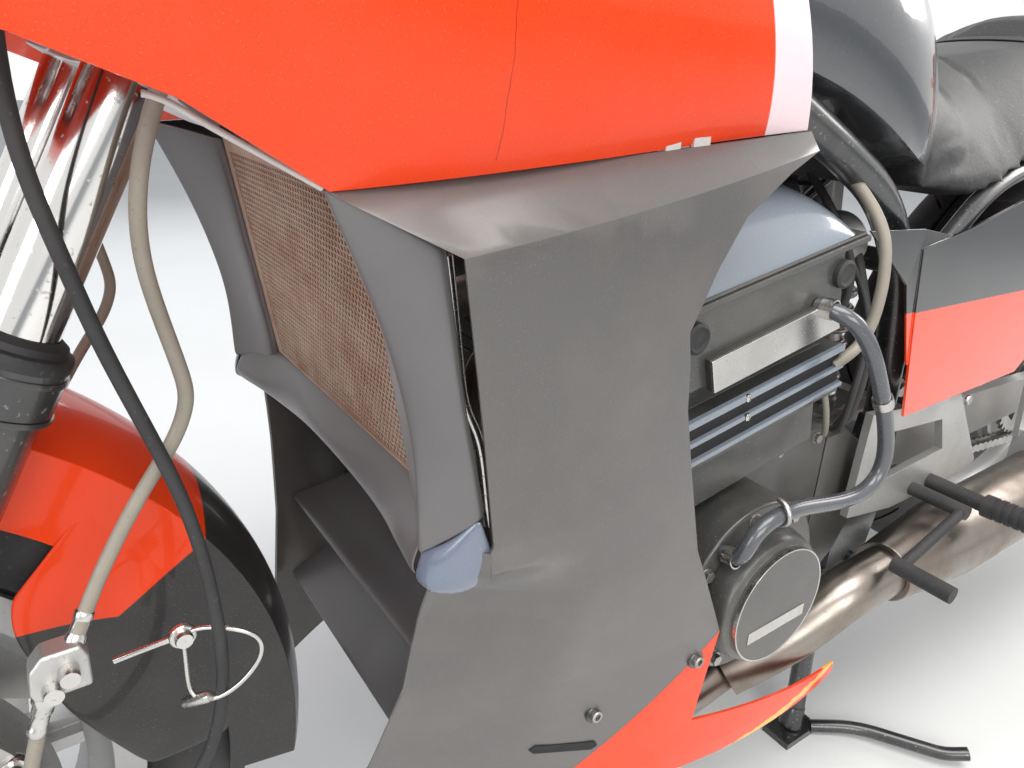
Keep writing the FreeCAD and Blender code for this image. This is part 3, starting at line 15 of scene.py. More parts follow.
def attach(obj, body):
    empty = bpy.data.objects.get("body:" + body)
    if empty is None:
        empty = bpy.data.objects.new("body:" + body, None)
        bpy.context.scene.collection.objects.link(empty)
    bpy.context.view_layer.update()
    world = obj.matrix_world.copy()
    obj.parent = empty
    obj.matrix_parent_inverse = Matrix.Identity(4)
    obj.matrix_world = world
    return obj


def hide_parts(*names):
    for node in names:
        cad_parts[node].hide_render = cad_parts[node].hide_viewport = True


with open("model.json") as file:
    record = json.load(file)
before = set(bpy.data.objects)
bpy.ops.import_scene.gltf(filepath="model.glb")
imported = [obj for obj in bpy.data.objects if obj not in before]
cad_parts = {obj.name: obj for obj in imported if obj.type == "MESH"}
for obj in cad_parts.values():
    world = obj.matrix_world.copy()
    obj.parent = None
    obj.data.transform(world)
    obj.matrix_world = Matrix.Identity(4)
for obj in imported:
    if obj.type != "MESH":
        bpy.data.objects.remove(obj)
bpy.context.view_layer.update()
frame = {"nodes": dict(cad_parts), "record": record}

# %% [markdown]
# The camera stands low beside the front wheel and looks back and down along the left side.
# A photograph has a focal length in pixels; a lens in millimetres is that number times the
# sensor's width over the picture's width.

# %% Camera
SENSOR_MM = 36.0
PICTURE_WIDTH = 1024
FOCAL_PIXELS = 764.9
CAMERA_PLACE = Vector((0.61163, 0.54306, 0.77349))
CAMERA_RIGHT = Vector((-0.82806, 0.55968, 0.03281))
CAMERA_DOWN = Vector((0.19171, 0.33766, -0.92154))
CAMERA_AHEAD = Vector((-0.52685, -0.75680, -0.38690))

camera_data = bpy.data.cameras.new("camera")
camera_data.sensor_width = SENSOR_MM
camera_data.lens = FOCAL_PIXELS / PICTURE_WIDTH * SENSOR_MM
camera_data.clip_start = 0.01
camera = bpy.data.objects.new("camera", camera_data)
turn = Matrix((CAMERA_RIGHT, -CAMERA_DOWN, -CAMERA_AHEAD)).transposed().to_4x4()
camera.matrix_world = Matrix.Translation(CAMERA_PLACE) @ turn
bpy.context.scene.collection.objects.link(camera)
bpy.context.scene.camera = camera

# %% [markdown]
# Every finish, and the sky of the studio, is a graph of shader nodes. One helper adds a node and fills
# its inputs, with plain values or with the outputs of other nodes, and a few short ones build on it.

# %% Node helpers
COLOUR, NUMBER, VECTOR = "NodeSocketColor", "NodeSocketFloat", "NodeSocketVector"


def put(tree, kind, inputs=(), **settings):
    """Adds a shader node, with its settings, and links or sets its inputs by name or number."""
    node = tree.nodes.new("ShaderNode" + kind)
    for key, value in settings.items():
        setattr(node, key, value)
    for key, value in dict(inputs).items():
        if isinstance(value, bpy.types.NodeSocket):
            tree.links.new(value, node.inputs[key])
        else:
            node.inputs[key].default_value = value
    return node


def group(name, inputs, outputs):
    tree = bpy.data.node_groups.new(name, "ShaderNodeTree")
    for label, kind in inputs:
        tree.interface.new_socket(label, in_out="INPUT", socket_type=kind)
    for label, kind in outputs:
        tree.interface.new_socket(label, in_out="OUTPUT", socket_type=kind)
    return tree, tree.nodes.new("NodeGroupInput").outputs, tree.nodes.new("NodeGroupOutput")


def calculate(tree, operation, a, b, clamp=False):
    return put(tree, "Math", {0: a, 1: b}, operation=operation, use_clamp=clamp).outputs[0]


def ramp(tree, value, low, high, out_low=0.0, out_high=1.0):
    return put(tree, "MapRange", {"Value": value, "From Min": low, "From Max": high, "To Min": out_low,
                                  "To Max": out_high}).outputs[0]


def blend_colours(tree, share, a, b):
    return put(tree, "Mix", {"Factor": share, 6: a, 7: b}, data_type="RGBA").outputs[2]


def noise(tree, vector, scale, detail=4.0, roughness=0.55):
    return put(tree, "TexNoise", {"Vector": vector, "Scale": scale, "Detail": detail,
                                  "Roughness": roughness}).outputs["Fac"]


def coordinates(tree, where):
    return put(tree, "SeparateXYZ", {0: where}).outputs


# %% [markdown]
# The studio is a pale floor and a few large soft lights. A camera, mirror or glass that looks past the
# object sees plain white, because the world's background is white for those rays only; for every other
# ray it is a dim, cool sky, so that the lights decide where the shadows fall.

# %% Stage
FLOOR_HALF = 14.0
SKY_COLOUR = (0.82, 0.90, 1.0, 1)
SKY_STRENGTH = 0.42
SOFT_BOXES = (
    # name, place, aims at, width, height, watts, colour
    ("overhead", (0.5, 0.9, 3.2), (0.2, 0, 0.5), 3.0, 1.6, 98, (1.0, 0.98, 0.95)),
    ("left", (1.0, 3.2, 1.9), (0.2, 0, 0.5), 2.2, 1.6, 62, (1.0, 0.97, 0.93)),
    ("front", (3.4, 0.9, 1.5), (0.3, 0, 0.5), 1.4, 1.8, 36, (0.92, 0.96, 1.0)),
    ("right", (-0.4, -3.2, 2.2), (0, 0, 0.5), 2.4, 1.4, 46, (0.95, 0.97, 1.0)),
    ("back", (-3.2, 0.6, 2.0), (0, 0, 0.5), 1.6, 1.2, 33, (1.0, 0.98, 0.95)),
)


def link(obj):
    bpy.context.scene.collection.objects.link(obj)
    return obj


def soft_box(name, place, aim, width, height, watts, colour):
    lamp = bpy.data.lights.new(name + "_light", "AREA")
    lamp.shape = "RECTANGLE"
    lamp.size, lamp.size_y, lamp.energy, lamp.color = width, height, watts, colour
    holder = link(bpy.data.objects.new(name + "_light", lamp))
    holder.location = place
    holder.rotation_euler = (Vector(aim) - Vector(place)).to_track_quat("-Z", "Y").to_euler()


for box_facts in SOFT_BOXES:
    soft_box(*box_facts)

floor_mesh = bpy.data.meshes.new("floor")
floor_mesh.from_pydata([(-FLOOR_HALF, -FLOOR_HALF, 0), (FLOOR_HALF, -FLOOR_HALF, 0),
                        (FLOOR_HALF, FLOOR_HALF, 0), (-FLOOR_HALF, FLOOR_HALF, 0)], [], [(0, 1, 2, 3)])
floor = link(bpy.data.objects.new("floor", floor_mesh))
bpy.context.scene.view_settings.view_transform = "Standard"

world = bpy.data.worlds.new("studio")
world.use_nodes = True
bpy.context.scene.world = world
tree = world.node_tree
sky = tree.nodes["Background"]
sky.inputs["Color"].default_value = SKY_COLOUR
sky.inputs["Strength"].default_value = SKY_STRENGTH
white = put(tree, "Background", {"Color": (1, 1, 1, 1)})
ray = put(tree, "LightPath").outputs
looks_past = calculate(tree, "MAXIMUM", ray["Is Camera Ray"], ray["Is Glossy Ray"])
looks_past = calculate(tree, "MAXIMUM", looks_past, ray["Is Transmission Ray"])
studio = put(tree, "MixShader", {"Fac": looks_past, 1: sky.outputs[0], 2: white.outputs[0]})
tree.links.new(studio.outputs[0], tree.nodes["World Output"].inputs["Surface"])
print("lights:", len(SOFT_BOXES))

# %% [markdown]
# A material here is a Principled BSDF whose colour, roughness and bump vary over the surface. Three
# shader groups do the varying, each built once: weather lays dirt in patches and specks over a colour,
# grain gives the fine relief of castings and moulded plastic, and brushed draws lines that all run one
# way. Each material places the groups that it needs and gives them values of its own.

# %% Shader groups
# How much of the noise shows as a cloud of dirt, and as a speck
CLOUD_RANGE, SPECK_RANGE = (0.42, 0.78), (0.64, 0.72)
COARSE_SCALE = 0.11


def build_weather():
    tree, given, out = group("weather", (
        ("Vector", VECTOR), ("Colour", COLOUR), ("Dirt Colour", COLOUR), ("Patch Scale", NUMBER),
        ("Patch Amount", NUMBER), ("Speck Scale", NUMBER), ("Speck Amount", NUMBER),
        ("Clean Roughness", NUMBER), ("Dirt Roughness", NUMBER)),
        (("Colour", COLOUR), ("Roughness", NUMBER), ("Mask", NUMBER)))
    cloud = ramp(tree, noise(tree, given["Vector"], given["Patch Scale"], 7.0, 0.62), *CLOUD_RANGE)
    specks = ramp(tree, noise(tree, given["Vector"], given["Speck Scale"], 2.0, 0.5), *SPECK_RANGE)
    patches = calculate(tree, "MULTIPLY", cloud, given["Patch Amount"], True)
    spots = calculate(tree, "MULTIPLY", specks, given["Speck Amount"], True)
    mask = calculate(tree, "MAXIMUM", patches, spots)
    colour = blend_colours(tree, mask, given["Colour"], given["Dirt Colour"])
    change = calculate(tree, "SUBTRACT", given["Dirt Roughness"], given["Clean Roughness"])
    rough = put(tree, "Math", {0: mask, 1: change, 2: given["Clean Roughness"]},
                operation="MULTIPLY_ADD").outputs[0]
    for name, value in (("Colour", colour), ("Roughness", rough), ("Mask", mask)):
        tree.links.new(value, out.inputs[name])
    return tree


def build_grain():
    tree, given, out = group("grain", (("Vector", VECTOR), ("Scale", NUMBER), ("Coarse Share", NUMBER)),
                             (("Height", NUMBER),))
    fine = noise(tree, given["Vector"], given["Scale"], 3.0)
    broad_scale = calculate(tree, "MULTIPLY", given["Scale"], COARSE_SCALE)
    broad = noise(tree, given["Vector"], broad_scale, 3.0)
    height = put(tree, "Mix", {"Factor": given["Coarse Share"], 2: fine, 3: broad}).outputs[0]
    tree.links.new(height, out.inputs["Height"])
    return tree


def build_brushed():
    tree, given, out = group("brushed", (("Vector", VECTOR), ("Across", VECTOR), ("Scale", NUMBER)),
                             (("Height", NUMBER),))
    stretched = put(tree, "VectorMath", {0: given["Vector"], 1: given["Across"]}, operation="MULTIPLY")
    lines = noise(tree, stretched.outputs[0], given["Scale"], 5.0, 0.7)
    tree.links.new(lines, out.inputs["Height"])
    return tree


GROUPS = {"weather": build_weather(), "grain": build_grain(), "brushed": build_brushed()}
print("shader groups:", sorted(GROUPS))


# %% Materials from the groups
BUMP_DISTANCE = 0.001


def place_group(tree, name, inputs):
    return put(tree, "Group", inputs, node_tree=GROUPS[name]).outputs


def opaque(colour):
    return (*colour, 1.0)


def finish_material(name, colour, dirt, patch, speck, rough, relief, brushed=None, paint=None, **shader):
    """A weathered finish. patch and speck are (scale, amount), rough is (clean, dirty), relief is
    (scale, strength, coarse share), brushed is the stretch across the lines, and paint is a function
    that takes the tree and the coordinates and returns the colour before the dirt."""
    made = bpy.data.materials.new(name)
    made.use_nodes = True
    tree = made.node_tree
    where = put(tree, "TexCoord").outputs["Object"]
    base = opaque(colour) if paint is None else paint(tree, where)
    weather = place_group(tree, "weather", {
        "Vector": where, "Colour": base, "Dirt Colour": opaque(dirt), "Patch Scale": patch[0],
        "Patch Amount": patch[1], "Speck Scale": speck[0], "Speck Amount": speck[1],
        "Clean Roughness": rough[0], "Dirt Roughness": rough[1]})
    scale, strength, coarse = relief
    if brushed:
        height = place_group(tree, "brushed", {"Vector": where, "Across": brushed, "Scale": scale})
    else:
        height = place_group(tree, "grain", {"Vector": where, "Scale": scale, "Coarse Share": coarse})
    bump = put(tree, "Bump", {"Height": height["Height"], "Strength": strength, "Distance": BUMP_DISTANCE})
    surface = tree.nodes["Principled BSDF"]
    tree.links.new(weather["Colour"], surface.inputs["Base Color"])
    tree.links.new(weather["Roughness"], surface.inputs["Roughness"])
    tree.links.new(bump.outputs["Normal"], surface.inputs["Normal"])
    for key, value in shader.items():
        surface.inputs[key.replace("_", " ")].default_value = value
    return made


# %% [markdown]
# Some panels have two colours. On the real machine they are masked and sprayed; here the colour depends
# on where a point lies in the side view, so the parting is as sharp as a masked edge at any distance.

# %% Parted paint
RED = (0.86, 0.050, 0.002)
DARK_RED = (0.40, 0.02, 0.004)
PALE_REAR_BAND = (0.90, 0.70, 0.74)
WORN_YELLOW = (0.90, 0.50, 0.10)
SIDE_BLACK = (0.030, 0.029, 0.029)
COVER_BLACK = (0.020, 0.020, 0.022)
EDGE_SOFTNESS = 0.0006
# The fender's parting turns round the axle: radii between which its angle changes, and the angles
AXLE_X, AXLE_Z = 0.798, 0.299
PARTING_FOOT = (0.195, 0.245, math.radians(45), math.radians(32))
PARTING_TOP = (0.315, 0.34, 0.0, math.radians(3))
PARTING_SOFTNESS = 0.002
SPLIT_HEIGHT, SPLIT_SLOPE = 0.5678, 0.0284
# Lines in the side view, as X, Z and the change of X per Z
REAR_BAND_LINE = (0.2182, 0.8112, 0.461)
CRACK_LINE = (0.399, 0.764, 0.043)
WORN_LINE = (0.040, 0.177, -8.0)
CRACK_MIDDLE, CRACK_HALF_LENGTH, CRACK_WANDER = 0.765, 0.036, 0.003
CRACK_RANGE = (0.0001, 0.0005)
WORN_RANGE, WORN_RAGGED = (0.034, 0.042), 0.09


def beyond_line(tree, where, x, z, lean):
    """How far in X a point lies ahead of a line in the side view; lean is the line's X per Z."""
    parts = coordinates(tree, where)
    height = calculate(tree, "SUBTRACT", parts["Z"], z)
    line = calculate(tree, "ADD", calculate(tree, "MULTIPLY", height, lean), x)
    return calculate(tree, "SUBTRACT", parts["X"], line)


def wander(tree, where, scale, detail, amount):
    """Noise about zero that makes a straight line ragged."""
    centred = calculate(tree, "SUBTRACT", noise(tree, where, scale, detail), 0.5)
    return calculate(tree, "MULTIPLY", centred, amount)


def two_tone_fender(tree, where):
    """Red in front and black behind, parted along a line that turns round the axle."""
    parts = coordinates(tree, where)
    back = calculate(tree, "SUBTRACT", AXLE_X, parts["X"])
    up = calculate(tree, "SUBTRACT", parts["Z"], AXLE_Z)
    squares = [calculate(tree, "MULTIPLY", part, part) for part in (back, up)]
    reach = calculate(tree, "SQRT", calculate(tree, "ADD", *squares), 0.0)
    parting = calculate(tree, "ADD", ramp(tree, reach, *PARTING_FOOT), ramp(tree, reach, *PARTING_TOP))
    past = calculate(tree, "SUBTRACT", calculate(tree, "ARCTAN2", up, back), parting)
    red_share = ramp(tree, past, -PARTING_SOFTNESS, PARTING_SOFTNESS)
    return blend_colours(tree, red_share, opaque(SIDE_BLACK), opaque(RED))


def side_cover_tones(tree, where):
    """Black above and red below, parted along a line that rises slightly to the front."""
    parts = coordinates(tree, where)
    above = calculate(tree, "SUBTRACT", parts["Z"], SPLIT_HEIGHT)
    height = calculate(tree, "SUBTRACT", above, calculate(tree, "MULTIPLY", parts["X"], SPLIT_SLOPE))
    black_share = ramp(tree, height, -EDGE_SOFTNESS, EDGE_SOFTNESS)
    return blend_colours(tree, black_share, opaque(RED), opaque(COVER_BLACK))


def fairing_tones(tree, where):
    """Red, pale pink-white behind a line at the rear edge, and a hairline crack above the vent."""
    ahead = ramp(tree, beyond_line(tree, where, *REAR_BAND_LINE), -EDGE_SOFTNESS, EDGE_SOFTNESS)
    banded = blend_colours(tree, ahead, opaque(PALE_REAR_BAND), opaque(RED))
    gap = calculate(tree, "ADD", beyond_line(tree, where, *CRACK_LINE),
                    wander(tree, where, 60.0, 4.0, CRACK_WANDER))
    height = calculate(tree, "SUBTRACT", coordinates(tree, where)["Z"], CRACK_MIDDLE)
    past_end = calculate(tree, "SUBTRACT", calculate(tree, "ABSOLUTE", height, 0.0), CRACK_HALF_LENGTH)
    away = calculate(tree, "MAXIMUM", calculate(tree, "ABSOLUTE", gap, 0.0), past_end)
    return blend_colours(tree, ramp(tree, away, *CRACK_RANGE), opaque(DARK_RED), banded)


def accent_tones(tree, where):
    """Red, worn through to a yellowish coat along the lower rear end."""
    middle = calculate(tree, "ABSOLUTE", beyond_line(tree, where, *WORN_LINE), 0.0)
    ragged = calculate(tree, "ADD", middle, wander(tree, where, 90.0, 6.0, WORN_RAGGED))
    return blend_colours(tree, ramp(tree, ragged, *WORN_RANGE), opaque(WORN_YELLOW), opaque(RED))


# %% [markdown]
# Each finish is one row of a table: its colour, what lies on it, and how it shines. Clear plastic and
# glass get a plainer shader of their own, because the export needs their metal and transmission plain.

# %% Finishes
STONE, RUST, LAMP_BLACK = (0.42, 0.40, 0.36), (0.20, 0.075, 0.03), (0.018, 0.018, 0.019)
ROAD_DIRT, OIL_DIRT, GREY_DUST = (0.26, 0.24, 0.20), (0.14, 0.13, 0.12), (0.22, 0.20, 0.18)
SPRAYED = (900, 0.012, 0.6)
GLOSS = {"Coat_Weight": 0.3, "Coat_Roughness": 0.05, "Specular_IOR_Level": 0.2}
MIRROR = {"Coat_Weight": 1.0, "Coat_Roughness": 0.03}


def coated(weight, roughness, **more):
    return dict(more, Coat_Weight=weight, Coat_Roughness=roughness)


FINISHES = {
    # name: colour, dirt, patches (scale, amount), specks (scale, amount), roughness (clean, dirty),
    # relief (scale, strength, coarse share), further settings
    "red_paint": (RED, STONE, (5, 0.05), (1300, 0.16), (0.26, 0.6), SPRAYED, GLOSS),
    "fairing_paint": (RED, STONE, (5, 0.05), (1300, 0.16), (0.26, 0.6), SPRAYED,
                      dict(GLOSS, paint=fairing_tones)),
    "accent_paint": (RED, STONE, (6, 0.10), (1100, 0.2), (0.28, 0.6), SPRAYED,
                     dict(GLOSS, paint=accent_tones)),
    "fender_paint": (RED, STONE, (5, 0.08), (1200, 0.2), (0.28, 0.6), SPRAYED,
                     dict(GLOSS, paint=two_tone_fender)),
    "cover_paint": (RED, STONE, (5, 0.05), (1200, 0.15), (0.15, 0.6), SPRAYED,
                    dict(MIRROR, paint=side_cover_tones)),
    "tank_paint": ((0.11, 0.115, 0.125), STONE, (5, 0.06), (500, 0.15), (0.24, 0.5), (900, 0.01, 0.6),
                   dict(MIRROR, Metallic=0.75)),
    "black_paint": ((0.088, 0.082, 0.079), (0.26, 0.23, 0.20), (7, 0.25), (1100, 0.35), (0.30, 0.6),
                    (420, 0.09, 0.35), coated(0.6, 0.16, brushed=(1, 1, 0.06))),
    "duct_plastic": ((0.115, 0.110, 0.112), GREY_DUST, (8, 0.2), (900, 0.3), (0.36, 0.7), (500, 0.06, 0.3),
                     coated(0.3, 0.2)),
    # The ledge's bluish grey colour is a painted reflection of the sky on its upturned top.
    "duct_ledge": ((0.14, 0.17, 0.23), GREY_DUST, (12, 0.2), (700, 0.4), (0.16, 0.5), (500, 0.05, 0.3),
                   coated(0.8, 0.08)),
    "dark_plastic": ((0.036, 0.036, 0.038), (0.16, 0.15, 0.13), (8, 0.14), (900, 0.3), (0.46, 0.8),
                     (620, 0.08, 0.3), {}),
    "frame_black": ((0.016, 0.017, 0.019), STONE, (9, 0.16), (300, 0.4), (0.28, 0.7), (700, 0.03, 0.5),
                    coated(0.6, 0.15)),
    "engine_black": ((0.050, 0.050, 0.048), ROAD_DIRT, (10, 0.25), (520, 0.5), (0.34, 0.75), (900, 0.10, 0.3),
                     coated(0.4, 0.2)),
    # The cam cover and the head's ledges are black; this light blue colour is a painted reflection of the
    # sky.
    "cover_gloss_painted_sky": ((0.20, 0.23, 0.27), ROAD_DIRT, (10, 0.12), (600, 0.3), (0.22, 0.6), (900, 0.03, 0.3),
                    coated(0.9, 0.08)),
    "cast_aluminium": ((0.56, 0.56, 0.55), (0.20, 0.17, 0.13), (14, 0.35), (420, 0.5), (0.42, 0.75),
                       (1100, 0.22, 0.35), {"Metallic": 0.85}),
    "silver_paint": ((0.50, 0.50, 0.50), (0.22, 0.19, 0.15), (10, 0.2), (350, 0.35), (0.34, 0.7),
                     (900, 0.05, 0.4), {"Metallic": 0.7}),
    "chrome": ((0.75, 0.74, 0.72), (0.35, 0.30, 0.24), (22, 0.10), (260, 0.5), (0.10, 0.5), (300, 0.015, 0.5),
               {"Metallic": 1.0}),
    "tyre": (LAMP_BLACK, (0.12, 0.11, 0.10), (12, 0.30), (240, 0.35), (0.72, 0.9), (800, 0.25, 0.3), {}),
    "rubber": ((0.02, 0.02, 0.021), OIL_DIRT, (14, 0.25), (300, 0.3), (0.62, 0.85), (900, 0.15, 0.3), {}),
    "steel": ((0.42, 0.41, 0.40), (0.18, 0.12, 0.07), (16, 0.4), (380, 0.6), (0.32, 0.7), (160, 0.12, 0.4),
              {"Metallic": 1.0, "brushed": (1, 40, 1)}),
    "radiator_fins": ((0.05, 0.048, 0.045), RUST, (14, 0.3), (300, 0.3), (0.5, 0.8), (900, 0.2, 0.4),
                      {"Metallic": 0.4}),
    "rusty_mesh": ((0.50, 0.36, 0.28), (0.30, 0.15, 0.08), (22, 0.8), (500, 0.5), (0.6, 0.9),
                   (1200, 0.3, 0.4), {"Metallic": 0.25}),
    "exhaust": ((0.30, 0.27, 0.24), (0.14, 0.08, 0.045), (12, 0.7), (300, 0.5), (0.28, 0.7), (500, 0.08, 0.5),
                {"Metallic": 1.0}),
    "wheel_paint": ((0.42, 0.42, 0.42), (0.2, 0.18, 0.14), (9, 0.2), (300, 0.35), (0.36, 0.7),
                    (900, 0.05, 0.4), {"Metallic": 0.6}),
    "hose": ((0.30, 0.27, 0.22), (0.12, 0.10, 0.08), (30, 0.3), (500, 0.4), (0.5, 0.8), (900, 0.1, 0.4), {}),
    "hose_black": ((0.07, 0.075, 0.085), OIL_DIRT, (14, 0.2), (500, 0.3), (0.26, 0.6), (600, 0.04, 0.3),
                   coated(0.6, 0.12)),
    "mirror_glass": ((0.80, 0.82, 0.84), (0.4, 0.38, 0.34), (16, 0.04), (420, 0.06), (0.02, 0.3),
                     (300, 0.004, 0.5), {"Metallic": 1.0}),
    "bright_plate": ((0.62, 0.61, 0.59), (0.2, 0.17, 0.13), (16, 0.3), (420, 0.5), (0.22, 0.6),
                     (140, 0.05, 0.4), {"Metallic": 1.0, "brushed": (1, 1, 30)}),
    "pale_edge": ((0.55, 0.52, 0.50), (0.25, 0.22, 0.2), (16, 0.4), (420, 0.4), (0.5, 0.7),
                  (700, 0.1, 0.4), {}),
    # Near black for the head's gaps and the drain slots: painted shade in recesses and openings.
    "painted_shade_black": ((0.006, 0.006, 0.007), (0.05, 0.045, 0.04), (16, 0.2), (420, 0.3), (0.7, 0.9),
                   (700, 0.1, 0.4), {}),
    "seat_vinyl": (LAMP_BLACK, STONE, (10, 0.08), (300, 0.15), (0.48, 0.7), (260, 0.35, 0.25), {}),
    "floor": ((0.72, 0.72, 0.71), (0.60, 0.60, 0.59), (2.5, 0.25), (60, 0.06), (0.6, 0.75),
              (300, 0.02, 0.5), {}),
}
finishes = {name: finish_material(name, *facts[:-1], **facts[-1]) for name, facts in FINISHES.items()}
print("finishes:", len(finishes))


# %% Clear finishes
GLASS_INDEX = 1.49
HAZE_SCALE, HAZE_ROUGHNESS, HAZE_SHADE = 35.0, 0.09, 0.85
CLEAR = {
    # name: colour, roughness, transmission
    "screen": ((0.60, 0.64, 0.66), 0.02, 1.0), "lamp_glass": ((0.93, 0.95, 0.96), 0.02, 1.0),
    "lamp_red": ((0.60, 0.015, 0.01), 0.08, 0.7), "lamp_amber": ((0.85, 0.22, 0.01), 0.10, 0.7),
}


def clear_material(name, colour, rough, transmission):
    """Glass or clear plastic, a little hazy in patches."""
    made = bpy.data.materials.new(name)
    made.use_nodes = True
    tree = made.node_tree
    surface = tree.nodes["Principled BSDF"]
    haze = noise(tree, put(tree, "TexCoord").outputs["Object"], HAZE_SCALE, 5.0)
    tree.links.new(ramp(tree, haze, 0.35, 0.75, rough, rough + HAZE_ROUGHNESS), surface.inputs["Roughness"])
    shaded = opaque([channel * HAZE_SHADE for channel in colour])
    colour_mix = blend_colours(tree, ramp(tree, haze, 0.3, 0.9, 0.0, 0.4), opaque(colour), shaded)
    tree.links.new(colour_mix, surface.inputs["Base Color"])
    surface.inputs["Transmission Weight"].default_value = transmission
    surface.inputs["IOR"].default_value = GLASS_INDEX
    return made


finishes.update({name: clear_material(name, *facts) for name, facts in CLEAR.items()})
floor.data.materials.append(finishes["floor"])
print("clear finishes:", len(CLEAR))

# %% [markdown]
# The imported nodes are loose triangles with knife-sharp edges, and real castings, pressings and welded
# tubes have none. Each rigid node is therefore copied, its doubles are merged and its flat triangles
# dissolved, and a Bevel modifier rounds every edge sharper than a limit. The copy stands for the node.

# %% Dress a node
MM = 0.001
# Edges that bend more than this stay hard: on cast and pressed pieces, and on moulded or bent ones
SHARP_DEGREES, SOFT_DEGREES = 32, 60
FLAT_DEGREES = 0.4
# Points closer than this are one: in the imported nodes, and in the pieces that are made here
DOUBLES, WELD = 2e-6, 1e-6
body_of_node = {node: body for body, members in frame["record"]["behaviour"]["bodies"].items()
                for node in members}


def merged_mesh(node):
    mesh = frame["nodes"][node].data.copy()
    shell = bmesh.new()
    shell.from_mesh(mesh)
    bmesh.ops.remove_doubles(shell, verts=shell.verts, dist=DOUBLES)
    bmesh.ops.dissolve_limit(shell, angle_limit=math.radians(FLAT_DEGREES), verts=shell.verts,
                             edges=shell.edges)
    bmesh.ops.recalc_face_normals(shell, faces=shell.faces)
    shell.to_mesh(mesh)
    shell.free()
    return mesh


def smooth(mesh, degrees=SHARP_DEGREES):
    mesh.shade_smooth()
    mesh.set_sharp_from_angle(angle=math.radians(degrees))


def round_edges(piece, width, segments=2):
    """A bevel on the sharp edges, its width in millimetres."""
    bevel = piece.modifiers.new("rounded edges", "BEVEL")
    bevel.width = width * MM
    bevel.segments = segments
    bevel.limit_method = "ANGLE"
    bevel.angle_limit = math.radians(SHARP_DEGREES)
    bevel.harden_normals = True


def paint_with(mesh, finish):
    mesh.materials.clear()
    mesh.materials.append(finishes[finish])


def stand_for(node, *pieces):
    for piece in pieces:
        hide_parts(node)


def dress(node, finish, width):
    """A copy of a node with rounded edges and a finish, which stands for the node."""
    mesh = merged_mesh(node)
    smooth(mesh)
    paint_with(mesh, finish)
    piece = link(bpy.data.objects.new(node + "_dressed", mesh))
    if width:
        round_edges(piece, width)
    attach(piece, body_of_node[node])
    stand_for(node, piece)
    return piece


# %% Rigid nodes
DRESSED = (
    # node, finish, width of its rounded edges in millimetres
    ("frame", "frame_black", 0.8), ("rear_subframe", "frame_black", 0.8), ("swingarm", "silver_paint", 1.5),
    ("engine_crankcase", "engine_black", 3), ("engine_cylinders", "engine_black", 1.6),
    ("engine_side_covers", "engine_black", 1.6), ("carburettors", "cast_aluminium", 1),
    ("radiator", "radiator_fins", 1.5), ("lower_fairing", "black_paint", 0.7),
    ("belly_accents", "accent_paint", 0.6), ("upper_fairing", "fairing_paint", 0.7),
    ("fuel_tank", "tank_paint", 3), ("filler_lid", "chrome", 0.8), ("side_covers", "cover_paint", 1.2),
    ("tail_fairing", "red_paint", 1.2), ("rear_fender", "dark_plastic", 1),
    ("footpeg_brackets", "cast_aluminium", 1.2), ("foot_controls", "rubber", 0.6),
    ("exhaust_headers", "exhaust", 1), ("silencers", "exhaust", 1.2),
    ("silencer_hangers", "cast_aluminium", 1), ("drive_chain", "steel", 0), ("shock_absorber", "steel", 0.6),
    ("rear_caliper", "cast_aluminium", 1.2), ("front_calipers", "cast_aluminium", 1.2),
    ("handlebars", "cast_aluminium", 0.6), ("grips", "rubber", 0.6), ("control_levers", "frame_black", 0.6),
    ("centre_stand", "frame_black", 0.8), ("side_stand", "frame_black", 0.8),
    ("triple_clamps", "silver_paint", 1.2), ("fork_sliders", "frame_black", 0.8),
    ("fork_tubes", "chrome", 0.5), ("front_fender", "fender_paint", 0.7),
    ("front_wheel_casting", "wheel_paint", 1.5),
    ("rear_wheel_casting", "wheel_paint", 1.5), ("front_discs", "steel", 0.4), ("rear_disc", "steel", 0.4),
    ("rear_sprocket", "steel", 0.4), ("mirrors", "dark_plastic", 1),
    ("instrument_cluster", "dark_plastic", 1.5), ("windscreen", "screen", 0.5),
    ("headlamp", "lamp_glass", 0.8), ("tail_lamp", "lamp_red", 1), ("turn_signals", "lamp_amber", 1),
)
dressed = {node: dress(node, finish, width) for node, finish, width in DRESSED}
print("dressed:", len(dressed), "of", len(frame["nodes"]))

# %% [markdown]
# Screws, plugs, rollers and mesh cells repeat, so each is one small template that Geometry Nodes copies
# onto points. A point carries the direction that its copy faces and the copy's size. The copies are
# realized and given their material inside the tree, and the result is kept as a plain mesh.

